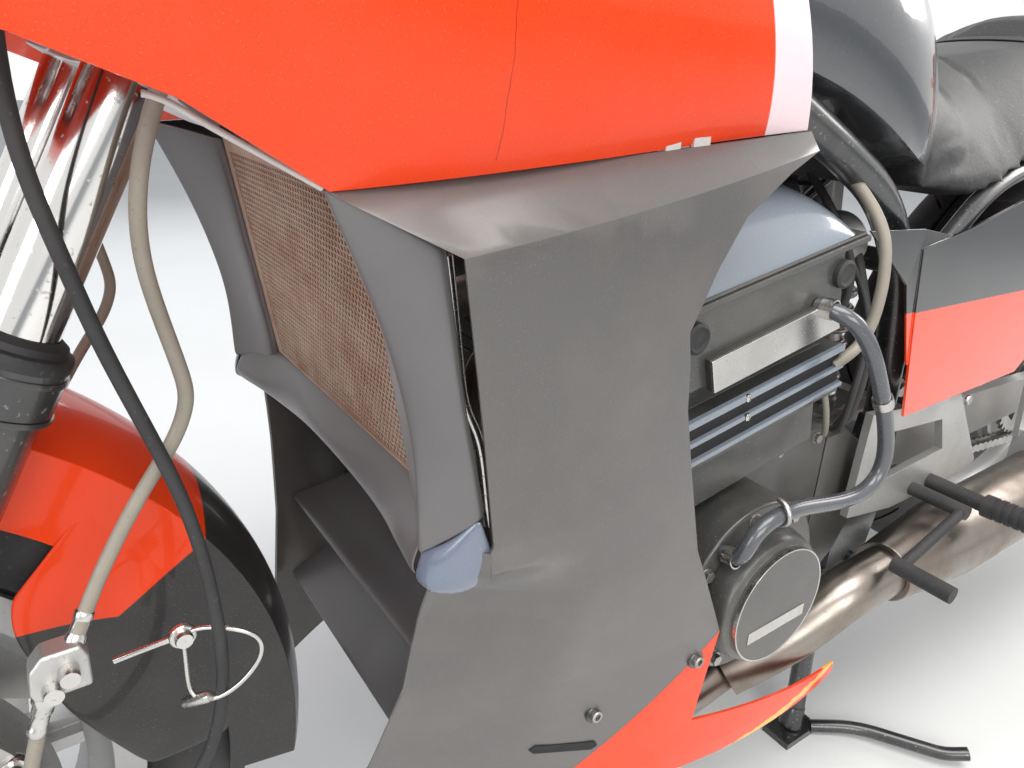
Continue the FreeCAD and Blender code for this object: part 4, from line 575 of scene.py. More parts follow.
# %% Scatter copies on points
def build_scatter():
    tree = bpy.data.node_groups.new("scatter", "GeometryNodeTree")
    for label, kind in (("Points", "NodeSocketGeometry"), ("Template", "NodeSocketObject"),
                        ("Material", "NodeSocketMaterial"), ("Merge Distance", "NodeSocketFloat")):
        tree.interface.new_socket(label, in_out="INPUT", socket_type=kind)
    tree.interface.new_socket("Geometry", in_out="OUTPUT", socket_type="NodeSocketGeometry")
    given = tree.nodes.new("NodeGroupInput").outputs
    template = tree.nodes.new("GeometryNodeObjectInfo")
    facing = tree.nodes.new("GeometryNodeInputNamedAttribute")
    facing.data_type = "FLOAT_VECTOR"
    facing.inputs["Name"].default_value = "facing"
    sizes = tree.nodes.new("GeometryNodeInputNamedAttribute")
    sizes.data_type = "FLOAT"
    sizes.inputs["Name"].default_value = "size"
    turn = tree.nodes.new("FunctionNodeAlignRotationToVector")
    turn.axis = "Z"
    copies = tree.nodes.new("GeometryNodeInstanceOnPoints")
    real = tree.nodes.new("GeometryNodeRealizeInstances")
    merge = tree.nodes.new("GeometryNodeMergeByDistance")
    paint = tree.nodes.new("GeometryNodeSetMaterial")
    out = tree.nodes.new("NodeGroupOutput")
    for a, b in ((given["Points"], copies.inputs["Points"]), (given["Template"], template.inputs["Object"]),
                 (template.outputs["Geometry"], copies.inputs["Instance"]),
                 (facing.outputs["Attribute"], turn.inputs["Vector"]),
                 (turn.outputs["Rotation"], copies.inputs["Rotation"]),
                 (sizes.outputs["Attribute"], copies.inputs["Scale"]),
                 (copies.outputs["Instances"], real.inputs["Geometry"]),
                 (real.outputs["Geometry"], merge.inputs["Geometry"]),
                 (given["Merge Distance"], merge.inputs["Distance"]),
                 (merge.outputs["Geometry"], paint.inputs["Geometry"]),
                 (given["Material"], paint.inputs["Material"]), (paint.outputs["Geometry"], out.inputs[0])):
        tree.links.new(a, b)
    return tree


SCATTER = build_scatter()
SOCKETS = {item.name: item.identifier for item in SCATTER.interface.items_tree if item.in_out == "INPUT"}


def scatter(name, template, places, finish, body, merge=0.0, degrees=SHARP_DEGREES):
    """Copies of a template at places, each a point, the direction that it faces and its size."""
    points = bpy.data.meshes.new(name)
    points.from_pydata([tuple(place) for place, _, _ in places], [], [])
    points.attributes.new("facing", "FLOAT_VECTOR", "POINT").data.foreach_set(
        "vector", [value for _, facing, _ in places for value in facing])
    points.attributes.new("size", "FLOAT", "POINT").data.foreach_set("value", [size for _, _, size in places])
    holder = link(bpy.data.objects.new(name + "_points", points))
    grower = holder.modifiers.new("scatter", "NODES")
    grower.node_group = SCATTER
    grower[SOCKETS["Template"]] = template
    grower[SOCKETS["Material"]] = finishes[finish]
    grower[SOCKETS["Merge Distance"]] = merge
    bpy.context.view_layer.update()
    mesh = bpy.data.meshes.new_from_object(holder.evaluated_get(bpy.context.evaluated_depsgraph_get()))
    bpy.data.objects.remove(holder)
    smooth(mesh, degrees)
    piece = link(bpy.data.objects.new(name, mesh))
    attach(piece, body)
    return piece


# %% Mesh helpers
LEFT, RIGHT = Vector((0, 1, 0)), Vector((0, -1, 0))
AHEAD, UP = Vector((1, 0, 0)), Vector((0, 0, 1))


def mesh_piece(name, shell, finish, body="root", degrees=SHARP_DEGREES, width=0, segments=2):
    """Turns a bmesh into a piece with outward faces and, where a width is given, rounded edges."""
    bmesh.ops.remove_doubles(shell, verts=shell.verts, dist=WELD)
    bmesh.ops.recalc_face_normals(shell, faces=shell.faces)
    mesh = bpy.data.meshes.new(name)
    shell.to_mesh(mesh)
    shell.free()
    smooth(mesh, degrees)
    paint_with(mesh, finish)
    piece = link(bpy.data.objects.new(name, mesh))
    if width:
        round_edges(piece, width, segments)
    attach(piece, body)
    return piece


def thicken(piece, thickness, offset=-1.0):
    wall = piece.modifiers.new("wall", "SOLIDIFY")
    wall.thickness, wall.offset = thickness * MM, offset


def subdivide(piece, levels=2):
    rounding = piece.modifiers.new("rounding", "SUBSURF")
    rounding.levels = rounding.render_levels = levels


def circle(steps):
    """Points evenly round a circle of radius 1."""
    return [(math.cos(2 * math.pi * i / steps), math.sin(2 * math.pi * i / steps)) for i in range(steps)]


def skin(shell, rows, closed=False):
    """Faces between neighbouring rows of points; a closed row joins its last point to its first."""
    for low, high in zip(rows, rows[1:]):
        for i in range(len(low) if closed else len(low) - 1):
            j = (i + 1) % len(low)
            shell.faces.new((low[i], low[j], high[j], high[i]))


def lathe(profile, steps=32, shell=None, turn=Matrix.Identity(4), unit=MM):
    """A profile of (radius, height) turned about Z, closed at its ends, then placed."""
    shell = shell or bmesh.new()
    rings = []
    for radius, height in profile:
        across = [(c * radius * unit, s * radius * unit) for c, s in circle(steps)] if radius else [(0, 0)]
        rings.append([shell.verts.new(turn @ Vector((x, y, height * unit))) for x, y in across])
    for low, high in zip(rings, rings[1:]):
        for i in range(steps):
            j = i + 1
            corners = [low[i % len(low)], low[j % len(low)], high[j % len(high)], high[i % len(high)]]
            unique = [v for n, v in enumerate(corners) if v not in corners[:n]]
            if len(unique) > 2:
                shell.faces.new(unique)
    return shell


def slab_between(shell, corners, place, low, high):
    """A closed slab over an outline; place turns (a, b, height) into a point."""
    bottom = [shell.verts.new(place(a, b, low)) for a, b in corners]
    top = [shell.verts.new(place(a, b, high)) for a, b in corners]
    shell.faces.new(bottom)
    shell.faces.new(top)
    skin(shell, (bottom, top), closed=True)
    return shell


def rectangle(left, right, low, high):
    return ((left, low), (right, low), (right, high), (left, high))


def facing_turn(place, axis):
    """A matrix that puts +Z along an axis at a place."""
    return Matrix.Translation(place) @ Vector(axis).to_track_quat("Z", "Y").to_matrix().to_4x4()


def template(name, shell):
    """A hidden object that scatter copies."""
    bmesh.ops.recalc_face_normals(shell, faces=shell.faces)
    mesh = bpy.data.meshes.new(name)
    shell.to_mesh(mesh)
    shell.free()
    return bpy.data.objects.new(name, mesh)


# %% Screw templates, with a head of radius 1
HEX_WASHER = ((0, -0.4), (1.25, -0.4), (1.25, 0.12), (0, 0.12))
PAN_HEAD = ((0, -0.3), (0.98, -0.3), (1.0, 0.1), (0.9, 0.36), (0.6, 0.5), (0.42, 0.52), (0.36, 0.2), (0, 0.2))
SOCKET_HEAD = ((0, -0.4), (0.96, -0.4), (1.0, -0.3), (1.0, 0.8), (0.9, 0.95), (0.52, 0.95), (0.5, 0.3),
               (0, 0.3))
HEAD_STEPS = 20

hexagon_shell = lathe(HEX_WASHER, HEAD_STEPS, unit=1)
slab_between(hexagon_shell, circle(6), lambda a, b, h: (a, b, h), 0.12, 0.85)
HEXAGON = template("hexagon_bolt", hexagon_shell)
PAN = template("pan_screw", lathe(PAN_HEAD, HEAD_STEPS, unit=1))
SOCKET = template("socket_bolt", lathe(SOCKET_HEAD, HEAD_STEPS, unit=1))
print("screw heads:", [head.name for head in (HEXAGON, PAN, SOCKET)])

# %% [markdown]
# The radiator hides behind a stamped stone screen, brown with rust. Its holes sit in offset rows, so one
# six-sided cell with a round hole tiles the whole screen; merging the copies' shared corners makes them
# one sheet. A folded rim holds the sheet.

# %% Radiator screen
MIDDLE_STATION = 697.0
CELL_RADIUS = 3.0
CELL_HALF_THICK = 0.16
CELL_MERGE = 0.0002
HOLE_SHARE = 0.68
SCREEN_HALF_WIDTH, SCREEN_HEIGHT, SCREEN_RIM = 139.0, 202.0, 9.0
RIM_OVERLAP, RIM_BACK, RIM_FRONT = 2.0, -3.6, 0.4
LEAN = math.radians(9)
RADIATOR_UP = Vector((math.sin(LEAN), 0, math.cos(LEAN)))
RADIATOR_AHEAD = Vector((math.cos(LEAN), 0, -math.sin(LEAN)))


def at(station, y, z):
    """A place in millimetres: ahead of the rear axle, to the left, and above the ground."""
    return Vector((station - MIDDLE_STATION, y, z)) * MM


RADIATOR_FOOT = at(1102, 0, 508)


def screen_cell():
    shell = bmesh.new()
    edge_low, edge_high, hole_low, hole_high = (
        [shell.verts.new((share * c, share * s, side * CELL_HALF_THICK)) for c, s in circle(6)]
        for share in (1.0, HOLE_SHARE) for side in (-1, 1))
    skin(shell, (edge_high, hole_high, hole_low, edge_low), closed=True)
    return template("screen_cell", shell)


def on_screen(side, up, ahead=-1.6):
    return RADIATOR_FOOT + Vector((0, side, 0)) * MM + (RADIATOR_UP * up + RADIATOR_AHEAD * ahead) * MM


row_pitch, column_pitch = 1.5 * CELL_RADIUS, math.sqrt(3) * CELL_RADIUS
row_count = int((SCREEN_HEIGHT - 2 * SCREEN_RIM) / row_pitch) + 2
column_count = int(2 * (SCREEN_HALF_WIDTH - SCREEN_RIM) / column_pitch) + 1
cells = []
for row in range(row_count):
    for column in range(column_count):
        side = (column - (column_count - 1) / 2 + 0.5 * (row % 2) - 0.25) * column_pitch
        up = SCREEN_RIM + (row - 0.5) * row_pitch
        cells.append((on_screen(side, up), RADIATOR_AHEAD, CELL_RADIUS * MM))
radiator_mesh = scatter("radiator_mesh", screen_cell(), cells, "rusty_mesh", "root", CELL_MERGE,
                        SOFT_DEGREES)
stand_for("radiator_screen", radiator_mesh)
print("screen cells:", len(cells))


# %% Screen rim
def folded_frame(outer, inner, low, high, place):
    """A closed frame between two outlines with as many corners, from one height to another."""
    shell = bmesh.new()
    outer_low, outer_high, inner_low, inner_high = (
        [shell.verts.new(place(a, b, height)) for a, b in outline]
        for outline in (outer, inner) for height in (low, high))
    skin(shell, (outer_low, outer_high, inner_high, inner_low, outer_low), closed=True)
    return shell


rim_outer = rectangle(-SCREEN_HALF_WIDTH - RIM_OVERLAP, SCREEN_HALF_WIDTH + RIM_OVERLAP, 0,
                      SCREEN_HEIGHT + RIM_OVERLAP)
rim_inner = rectangle(SCREEN_RIM - SCREEN_HALF_WIDTH, SCREEN_HALF_WIDTH - SCREEN_RIM, SCREEN_RIM,
                      SCREEN_HEIGHT - SCREEN_RIM)
mesh_piece("radiator_screen_rim", folded_frame(rim_outer, rim_inner, RIM_BACK, RIM_FRONT, on_screen),
           "rusty_mesh", width=0.6)
print("screen rim width:", SCREEN_RIM + RIM_OVERLAP)

# %% [markdown]
# The engine's castings are held by screws that catch the light. Those round the alternator cover stand
# where the real ones do; the rest follow each cover's edge at an even pitch. Rubber half-moons plug the
# ends of the cam cover's joint, and a plain plate without any lettering is fixed to the cylinder head.

# %% Engine screws
ENGINE_TILT = math.radians(10)
ENGINE_AHEAD = Vector((math.cos(ENGINE_TILT), 0, -math.sin(ENGINE_TILT)))
ENGINE_UP = Vector((math.sin(ENGINE_TILT), 0, math.cos(ENGINE_TILT)))
CRANK = at(800, 0, 345)
# Round covers: station, y and height of the screws' ring, its radius, the angles and the screw's size
ROUND_COVERS = (
    ((805, 205.2, 348), 74, (30, -22, -62, -105, 191, 170, 125, 81), LEFT, 5.5),
    ((712, -205.2, 352), 82, range(0, 360, 45), RIGHT, 5.0),
    ((812, -205.2, 348), 47, range(20, 380, 72), RIGHT, 4.5),
)
# Flat covers on the left: how far out, the screw's size, and each screw's station and height
FLAT_COVERS = (
    (150.2, 5.0, ((930, 300), (925, 400), (690, 300), (720, 436), (660, 436), (655, 282))),
    (136.2, 4.5, ((592, 290), (590, 414), (634, 272), (632, 424))),
)


def on_engine(ahead, up, side):
    return CRANK + (ENGINE_AHEAD * ahead + ENGINE_UP * up + LEFT * side) * MM


def way(degrees):
    """A direction in the X-Z plane, at an angle counted up from straight ahead."""
    turn = math.radians(degrees)
    return Vector((math.cos(turn), 0, math.sin(turn)))


engine_screws = [(at(*centre) + way(angle) * radius * MM, facing, size * MM)
                 for centre, radius, angles, facing, size in ROUND_COVERS for angle in angles]
engine_screws += [(at(station, side, height), LEFT, size * MM)
                  for side, size, places in FLAT_COVERS for station, height in places]
round_edges(scatter("engine_bolts", HEXAGON, engine_screws, "steel", "root"), 0.3, 1)
print("engine screws:", len(engine_screws))

# %% Plugs, plate and round cover
PLUG_PLACES, PLUG_SIDE = ((905.7, 596.4), (738.8, 623.8)), 189.8
PLUG_PROFILE = ((0, 0), (12, 0), (12, 5), (9.6, 6.6), (7.2, 5), (0, 5))
PLATE_CORNERS = ((883.3, 550.1), (890.8, 577.2), (750.1, 604.6), (736.1, 578.3))
PAD_SIDE, PLATE_SIDE, PLATE_THICK = 189.6, 195.4, 2.2
STRIP_CORNERS = ((842, 322), (842, 334), (768, 336), (768, 324))
STRIP_SIDE, STRIP_THICK = 236.1, 1.2
RING_PLACE, RING_STEPS = (805, 233.0, 348), 96
RING_PROFILE = ((54.0, 0), (55.5, 0), (55.5, 3.4), (54.9, 3.8), (54.0, 3.4), (54.0, 0))


def standing_out(side):
    """Places a slab that stands off one side, from (station, height) and the distance to the middle."""
    return lambda station, height, reach: at(station, side * reach, height)


plugs, pads = bmesh.new(), bmesh.new()
for side in (1, -1):
    for station, height in PLUG_PLACES:
        turn = facing_turn(at(station, side * PLUG_SIDE, height), LEFT * side)
        lathe(PLUG_PROFILE, shell=plugs, turn=turn)
    slab_between(pads, PLATE_CORNERS, standing_out(side), PAD_SIDE, PLATE_SIDE)
mesh_piece("cam_cover_plugs", plugs, "rubber")
mesh_piece("engine_plate_pads", pads, "engine_black", width=1)
plate = slab_between(bmesh.new(), PLATE_CORNERS, standing_out(1), PLATE_SIDE, PLATE_SIDE + PLATE_THICK)
mesh_piece("engine_plate", plate, "bright_plate", width=1)
strip = slab_between(bmesh.new(), STRIP_CORNERS, standing_out(1), STRIP_SIDE, STRIP_SIDE + STRIP_THICK)
mesh_piece("cover_strip", strip, "bright_plate", width=0.5)
ring = lathe(RING_PROFILE, RING_STEPS, turn=facing_turn(at(*RING_PLACE), LEFT))
mesh_piece("cover_ring", ring, "bright_plate")
print("plugs:", 2 * len(PLUG_PLACES))

# %% Cam cover
# The cover's arch from the middle to its edge, as (side, up), and how it thins towards its ends
COVER_ARCH = ((0, 350), (60, 348.5), (110, 344), (148, 335), (172, 321), (186, 305), (190.5, 294),
              (190.5, 284))
COVER_FOOT = 284
COVER_ENDS = ((-134, 0.0), (-131, 0.30), (-124, 0.58), (-108, 0.84), (-80, 0.97), (-30, 1.0), (24, 0.99),
              (50, 0.92), (66, 0.70), (76, 0.36), (79, 0.0))
COVER_WALL = 4
# The flange in two steps: its lower and upper face, half its width, and how far it passes the cover's ends
FLANGE_STEPS = ((283.4, 289, 194, 4), (289, 292, 192, 1))
FLANGE_BACK, FLANGE_FRONT = -136, 80
cover = bmesh.new()
cover_rows = []
for ahead, rise in COVER_ENDS:
    half_row = [(side, COVER_FOOT + (up - COVER_FOOT) * rise) for side, up in COVER_ARCH]
    row = [on_engine(ahead, up, -side) for side, up in half_row[:0:-1]]
    row += [on_engine(ahead, up, side) for side, up in half_row]
    cover_rows.append([cover.verts.new(place) for place in row])
skin(cover, cover_rows)
# The cover takes a light blue colour, a painted reflection of the sky on its black top.
cam_dome = mesh_piece("cam_cover_moulded", cover, "cover_gloss_painted_sky", degrees=SOFT_DEGREES)
thicken(cam_dome, COVER_WALL)
subdivide(cam_dome)
flange = bmesh.new()
for low, high, half, reach in FLANGE_STEPS:
    outline = rectangle(FLANGE_BACK - reach, FLANGE_FRONT + reach, -half, half)
    slab_between(flange, outline, lambda a, b, h: on_engine(a, h, b), low, high)
cover_flange = mesh_piece("cam_cover_flange", flange, "engine_black", width=1.8, segments=3)
stand_for("cam_cover", cam_dome, cover_flange)
print("cam cover rows:", len(cover_rows))

# %% Ledges and gaps of the head
# Lower and upper edge of each ledge and gap, above the crank and along the cylinders
LEDGES, GAPS = ((194, 200), (177.5, 181.5), (160, 164)), ((181.5, 194), (164, 177.5))
NUB_PLACES, NUB_SIDE, NUB_SIZE = ((80, 197), (80, 179.5), (8, 197), (8, 179.5)), 197.0, 3.4


def head_slabs(name, spans, ends, faces, finish, **rounded):
    """Slabs on both sides of the head, between two ends along it and two faces out from the middle."""
    shell = bmesh.new()
    for span in spans:
        for side in (1, -1):
            slab_between(shell, rectangle(*ends, *span), lambda a, b, h: on_engine(a, b, side * h), *faces)
    mesh_piece(name, shell, finish, **rounded)


# The ledges take the same light blue colour, a painted reflection of the sky.
head_slabs("head_ledges", LEDGES, (-114, 88), (191.4, 197.6), "cover_gloss_painted_sky", width=1.4, segments=3)
# The gaps are near-black sheets between the ledges: painted shade in the recesses.
head_slabs("head_gaps", GAPS, (-113, 87), (191.0, 192.8), "painted_shade_black")
nubs = [(on_engine(ahead, up, side * NUB_SIDE), LEFT * side, NUB_SIZE * MM)
        for side in (1, -1) for ahead, up in NUB_PLACES]
scatter("ledge_nubs", PAN, nubs, "bright_plate", "root")
print("ledges:", len(LEDGES), "nubs:", len(nubs))

# %% [markdown]
# The duct beside the radiator is a moulded plastic panel: it leaves the screen's edge, turns round a
# leading edge that curves down to the chin, and runs back into the vent slot. A leaf-shaped ledge closes
# its foot. Such a form is a sheet through a few rows of points, one side worked out and the
# other mirrored. Solidify gives the wall, and Subdivision rounds its rim as moulding does.

# %% Moulded panels
def moulded_panel(name, rows, finish, body, thickness, mirrored=True, levels=2):
    """A walled sheet through rows of points, with its mirror image on the other side."""
    shell = bmesh.new()
    for side in ((1, -1) if mirrored else (1,)):
        verts = [[shell.verts.new((p[0], p[1] * side, p[2])) for p in row] for row in rows]
        skin(shell, verts[::side])
    mesh = bpy.data.meshes.new(name)
    shell.to_mesh(mesh)
    shell.free()
    mesh.shade_smooth()
    paint_with(mesh, finish)
    piece = link(bpy.data.objects.new(name, mesh))
    thicken(piece, thickness, 0.0)
    subdivide(piece, levels)
    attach(piece, body)
    return piece


def mixed(a, b, share):
    return tuple(p + (q - p) * share for p, q in zip(a, b))


# %% Duct panels
PANEL_THICK = 3.0
# Down the panel: the radiator's edge, the leading edge and the vent's edge, as (station, y, height)
PANEL_ROWS = (
    ((1140, 141.8, 709), (1180, 203.5, 720), (1131, 224, 692)),
    ((1136, 141.8, 682), (1167, 202, 690), (1128, 223.5, 668)),
    ((1131, 141.8, 652), (1155, 200, 660), (1124, 223, 643)),
    ((1127, 141.8, 624), (1145, 198, 630), (1121, 222.5, 620)),
    ((1122, 141.8, 596), (1137, 196, 600), (1117, 222, 596)),
    ((1118, 141.8, 568), (1131, 194, 570), (1112, 221.4, 572)),
    ((1113, 141.8, 540), (1129, 194, 540), (1107, 220.6, 549)),
    ((1110, 142.4, 516), (1129, 194, 514), (1104, 220, 534)),
    ((1110, 146, 502), (1129, 194.4, 497), (1103, 220, 526)),
)
# Across it: in which of the two spans, the share of the way, and how far ahead and out of the straight line
PANEL_COLUMNS = (
    (0, 0.0, -8, 0), (0, 0.0, 0, 0), (0, 0.3, -3, 3), (0, 0.7, -2, 4), (0, 0.94, 0, 1.5), (0, 1.0, 1.2, 0),
    (1, 0.05, 0.8, 1.4), (1, 0.3, 1.0, 2.4), (1, 0.65, 0.5, 2.6), (1, 0.94, 0, 1.0), (1, 1.0, -2, -0.6),
    (1, 1.0, -5, -6), (1, 1.0, -7, -18), (1, 1.0, -9, -34),
)
panel_rows = []
for inner, lead, outer in PANEL_ROWS:
    spans = ((inner, lead), (lead, outer))
    panel_rows.append([at(*mixed(*spans[span], share)) + Vector((ahead, out, 0)) * MM
                       for span, share, ahead, out in PANEL_COLUMNS])
duct_panels = moulded_panel("duct_panels", panel_rows, "duct_plastic", "root", PANEL_THICK)
print("duct panels:", len(panel_rows), "rows")

# %% Ledges below the duct panels
# From the crease at the panel's foot, over the ledge's bright top, to the rim and round below it
LEDGE_ROWS = (
    ((1127, 193, 499), (1122, 202, 504), (1116, 209, 511), (1110, 215, 519), (1103, 220.5, 528)),
    ((1130, 193, 491), (1128, 203, 492), (1122, 211, 497), (1113, 217, 507), (1101, 222, 520)),
    ((1132, 192, 481), (1131, 203, 478), (1124, 212, 481), (1111, 219, 491), (1097, 223, 508)),
    ((1131, 191.5, 477), (1128, 203, 473), (1121, 212, 475), (1108, 219, 484), (1095, 222.6, 500)),
    ((1122, 190, 474), (1117, 202, 468), (1109, 211, 469), (1098, 218, 478), (1090, 221, 494)),
)
ledge_rows = [[at(*place) for place in row] for row in LEDGE_ROWS]
# The ledges' bluish grey finish is a painted sky reflection on their tops.
duct_ledges = moulded_panel("duct_ledges", ledge_rows, "duct_ledge", "root", PANEL_THICK)
print("duct ledges:", len(ledge_rows), "rows")

# %% Band below the screen
# Its upper edge under the screen and its lower edge, from the middle to one side, as (station, y, height)
BAND_COLUMNS = (
    ((1105, 0, 511), (1120, 0, 490)), ((1105, 40, 511), (1118, 40, 486)), ((1105, 80, 511), (1115, 80, 478)),
    ((1105, 120, 511), (1119, 120, 478)), ((1105, 139, 511), (1124, 141, 480)),
    ((1110, 152, 507), (1127, 158, 480)), ((1118, 172, 503), (1129, 175, 479)),
    ((1125, 189, 499), (1131, 190, 479)),
)
# Down the band: the share of the way, and how far ahead and up of the straight line
BAND_SHARES = ((0.0, -4, 4), (0.0, 1, 0), (0.35, 3, 0), (0.75, 3, 0), (1.0, 0, 0), (1.0, -6, -3))


def band_column(top, foot, side):
    places = [(mixed(top, foot, share), ahead, up) for share, ahead, up in BAND_SHARES]
    return [at(station + ahead, side * y, height + up) for (station, y, height), ahead, up in places]


band_rows = [band_column(top, foot, -1) for top, foot in BAND_COLUMNS[:0:-1]]
band_rows += [band_column(top, foot, 1) for top, foot in BAND_COLUMNS]
cowl_band = moulded_panel("cowl_band", band_rows, "duct_plastic", "root", PANEL_THICK, mirrored=False)
print("band columns:", len(band_rows))

# %% Blades across the chin
# Half width in front and behind, and the upper face as (station, height)
BLADES = ((152, 126, ((1101, 351), (1099, 353), (1076, 358), (1060, 366), (1032, 378))),
          (126, 112, ((1116, 276), (1114, 278), (1093, 292), (1081, 301), (1060, 315))))
BLADE_THICK = 6
BLADE_SHARES = (-1, -0.98, -0.5, 0, 0.5, 0.98, 1)


def blade(shell, half_front, half_back, upper):
    """A bent blade across the chin that rises to the rear."""
    section = upper + tuple((station, height - BLADE_THICK) for station, height in reversed(upper[1:]))
    front, back = upper[0][0], upper[-1][0]
    loops = []
    for share in BLADE_SHARES:
        halves = [half_back + (half_front - half_back) * (station - back) / (front - back)
                  for station, _ in section]
        loops.append([shell.verts.new(at(station, share * half, height))
                      for half, (station, height) in zip(halves, section)])
    skin(shell, loops, closed=True)
    shell.faces.new(loops[0])
    shell.faces.new(loops[-1])


blades = bmesh.new()
for facts in BLADES:
    blade(blades, *facts)
chin_slats = mesh_piece("chin_slats", blades, "duct_plastic", degrees=SOFT_DEGREES)
subdivide(chin_slats)
stand_for("front_cowl", duct_panels, duct_ledges, cowl_band, chin_slats)
print("blades:", len(BLADES))

# %% [markdown]
# Below the ledge the lower fairing's front edge is drawn in towards the chin. The panel is first cut into
# fine strips there, so that the bend is smooth, and then each point moves by its height and its station.

# %% Chin edge of the lower fairing
# (height, how far the front edge is drawn in)
DRAWN_IN = ((482, 0), (464, 20), (447, 33), (418, 34), (389, 30), (329, 20), (260, 8), (200, 0))
DRAWN_FROM, DRAWN_FULL = 1010, 1108
STRIP_WIDTH, CUT_TOLERANCE = 14, 1e-5
STRIP_STATIONS, STRIP_LEVELS = range(DRAWN_FROM, 1124, STRIP_WIDTH), range(206, 488, STRIP_WIDTH)


def drawn_in(height):
    for (high, a), (low, b) in zip(DRAWN_IN, DRAWN_IN[1:]):
        if low <= height <= high:
            return b + (a - b) * (height - low) / (high - low)
    return 0.0


chin_mesh = dressed["lower_fairing"].data
shell = bmesh.new()
shell.from_mesh(chin_mesh)
cuts = [(at(station, 0, 0), AHEAD) for station in STRIP_STATIONS]
cuts += [(at(0, 0, height), UP) for height in STRIP_LEVELS]
for place, normal in cuts:
    bmesh.ops.bisect_plane(shell, geom=shell.verts[:] + shell.edges[:] + shell.faces[:], plane_co=place,
                           plane_no=normal, dist=CUT_TOLERANCE)
for vertex in shell.verts:
    station, height = vertex.co.x / MM + MIDDLE_STATION, vertex.co.z / MM
    share = min(max((station - DRAWN_FROM) / (DRAWN_FULL - DRAWN_FROM), 0.0), 1.0)
    move = drawn_in(height) * share * share * (3 - 2 * share) * MM
    vertex.co.y -= math.copysign(move, vertex.co.y)
shell.to_mesh(chin_mesh)
shell.free()
smooth(chin_mesh)
print("lower fairing points:", len(chin_mesh.vertices))

# %% [markdown]
# Hoses and cables that are clipped at both ends are tubes along smooth curves. A NURBS curve with a round
# bevel is made a mesh, so that the tube has even rings and can carry its crimped ends.

# %% Tubes along smooth curves
def tube(name, places, radius, finish, body="root", mirrored=False, resolution=5):
    """A round tube along a NURBS curve through control points, in (station, y, height)."""
    curve = bpy.data.curves.new(name, "CURVE")
    curve.dimensions = "3D"
    curve.bevel_depth = radius * MM
    curve.bevel_resolution = resolution
    curve.use_fill_caps = True
    curve.resolution_u = 10
    for side in ((1, -1) if mirrored else (1,)):
        spline = curve.splines.new("NURBS")
        spline.points.add(len(places) - 1)
        for point, (station, y, z) in zip(spline.points, places):
            point.co = (*at(station, side * y, z), 1.0)
        spline.order_u = 4
        spline.use_endpoint_u = True
    holder = link(bpy.data.objects.new(name + "_curve", curve))
    bpy.context.view_layer.update()
    mesh = bpy.data.meshes.new_from_object(holder.evaluated_get(bpy.context.evaluated_depsgraph_get()))
    bpy.data.objects.remove(holder)
    bpy.data.curves.remove(curve)
    shell = bmesh.new()
    shell.from_mesh(mesh)
    bpy.data.meshes.remove(mesh)
    return mesh_piece(name, shell, finish, body, SOFT_DEGREES)


def fitting(shell, start, end, profile, steps=20):
    """A turned fitting between two places; the profile is (radius, share of the way)."""
    low, high = at(*start), at(*end)
    length = (high - low).length
    lathe([(radius * MM, share * length) for radius, share in profile], steps, shell,
          facing_turn(low, high - low), unit=1)


# %% Brake hoses
HOSE_RADIUS = 4.2
HOSE_PLACES = ((1123, 161, 1008), (1150, 150, 930), (1192, 142, 830), (1240, 134, 745), (1250, 128, 690),
               (1246, 128, 655), (1237, 128, 612), (1236, 128, 596), (1246, 128, 574), (1264, 128, 552),
               (1284, 128, 522), (1300, 131, 496), (1311, 136, 476))
LOWER_HOSE = ((1329, 138, 449), (1337, 138, 430), (1345, 137, 404), (1352, 131, 380), (1360, 116, 366),
              (1360, 97, 365))
FERRULE = ((0, 0), (4.6, 0), (5.2, 0.04), (5.2, 0.16), (4.7, 0.2), (4.7, 0.5), (5.6, 0.56), (5.6, 0.7),
           (7.0, 0.78), (7.0, 0.94), (4.0, 1.0), (0, 1.0))
BANJO = ((0, 0), (7.5, 0), (8.2, 0.12), (8.2, 0.42), (7.6, 0.5), (5.6, 0.52), (5.6, 0.8), (5.0, 1.0),
         (0, 1.0))
# Each end of a hose, on the left: start, end and profile
HOSE_ENDS = (
    ((1305, 133, 487), (1317, 137, 464), FERRULE), ((1341, 138, 420), (1331, 138, 446), FERRULE),
    ((1319, 128, 461), (1319, 155, 461), BANJO), ((1328, 129, 452), (1328, 153, 452), BANJO),
    ((1360, 92, 365), (1360, 106, 365), BANJO), ((1143, 153, 948), (1150, 150, 930), FERRULE),
)
BLOCK_OUTLINE = ((1309, 446), (1337, 446), (1339, 452), (1337, 466), (1330, 474), (1311, 474), (1308, 466))
BLOCK_INNER, BLOCK_OUTER = 130, 146


def mirrored_place(place, side):
    station, y, height = place
    return station, side * y, height


brake_pieces = [tube("brake_hose_runs", HOSE_PLACES, HOSE_RADIUS, "hose", "steering", mirrored=True),
                tube("caliper_hose_runs", LOWER_HOSE, HOSE_RADIUS, "hose", "steering", mirrored=True)]
metal = bmesh.new()
for side in (1, -1):
    for start, end, profile in HOSE_ENDS:
        fitting(metal, mirrored_place(start, side), mirrored_place(end, side), profile)
brake_pieces.append(mesh_piece("hose_fittings", metal, "bright_plate", "steering"))
for side, label in ((1, "left"), (-1, "right")):
    block = slab_between(bmesh.new(), BLOCK_OUTLINE, standing_out(side), BLOCK_INNER, BLOCK_OUTER)
    brake_pieces.append(mesh_piece("hose_block_" + label, block, "cast_aluminium", "steering", width=2,
                                   segments=3))
stand_for("brake_hoses", *brake_pieces)
print("brake hose pieces:", len(brake_pieces))

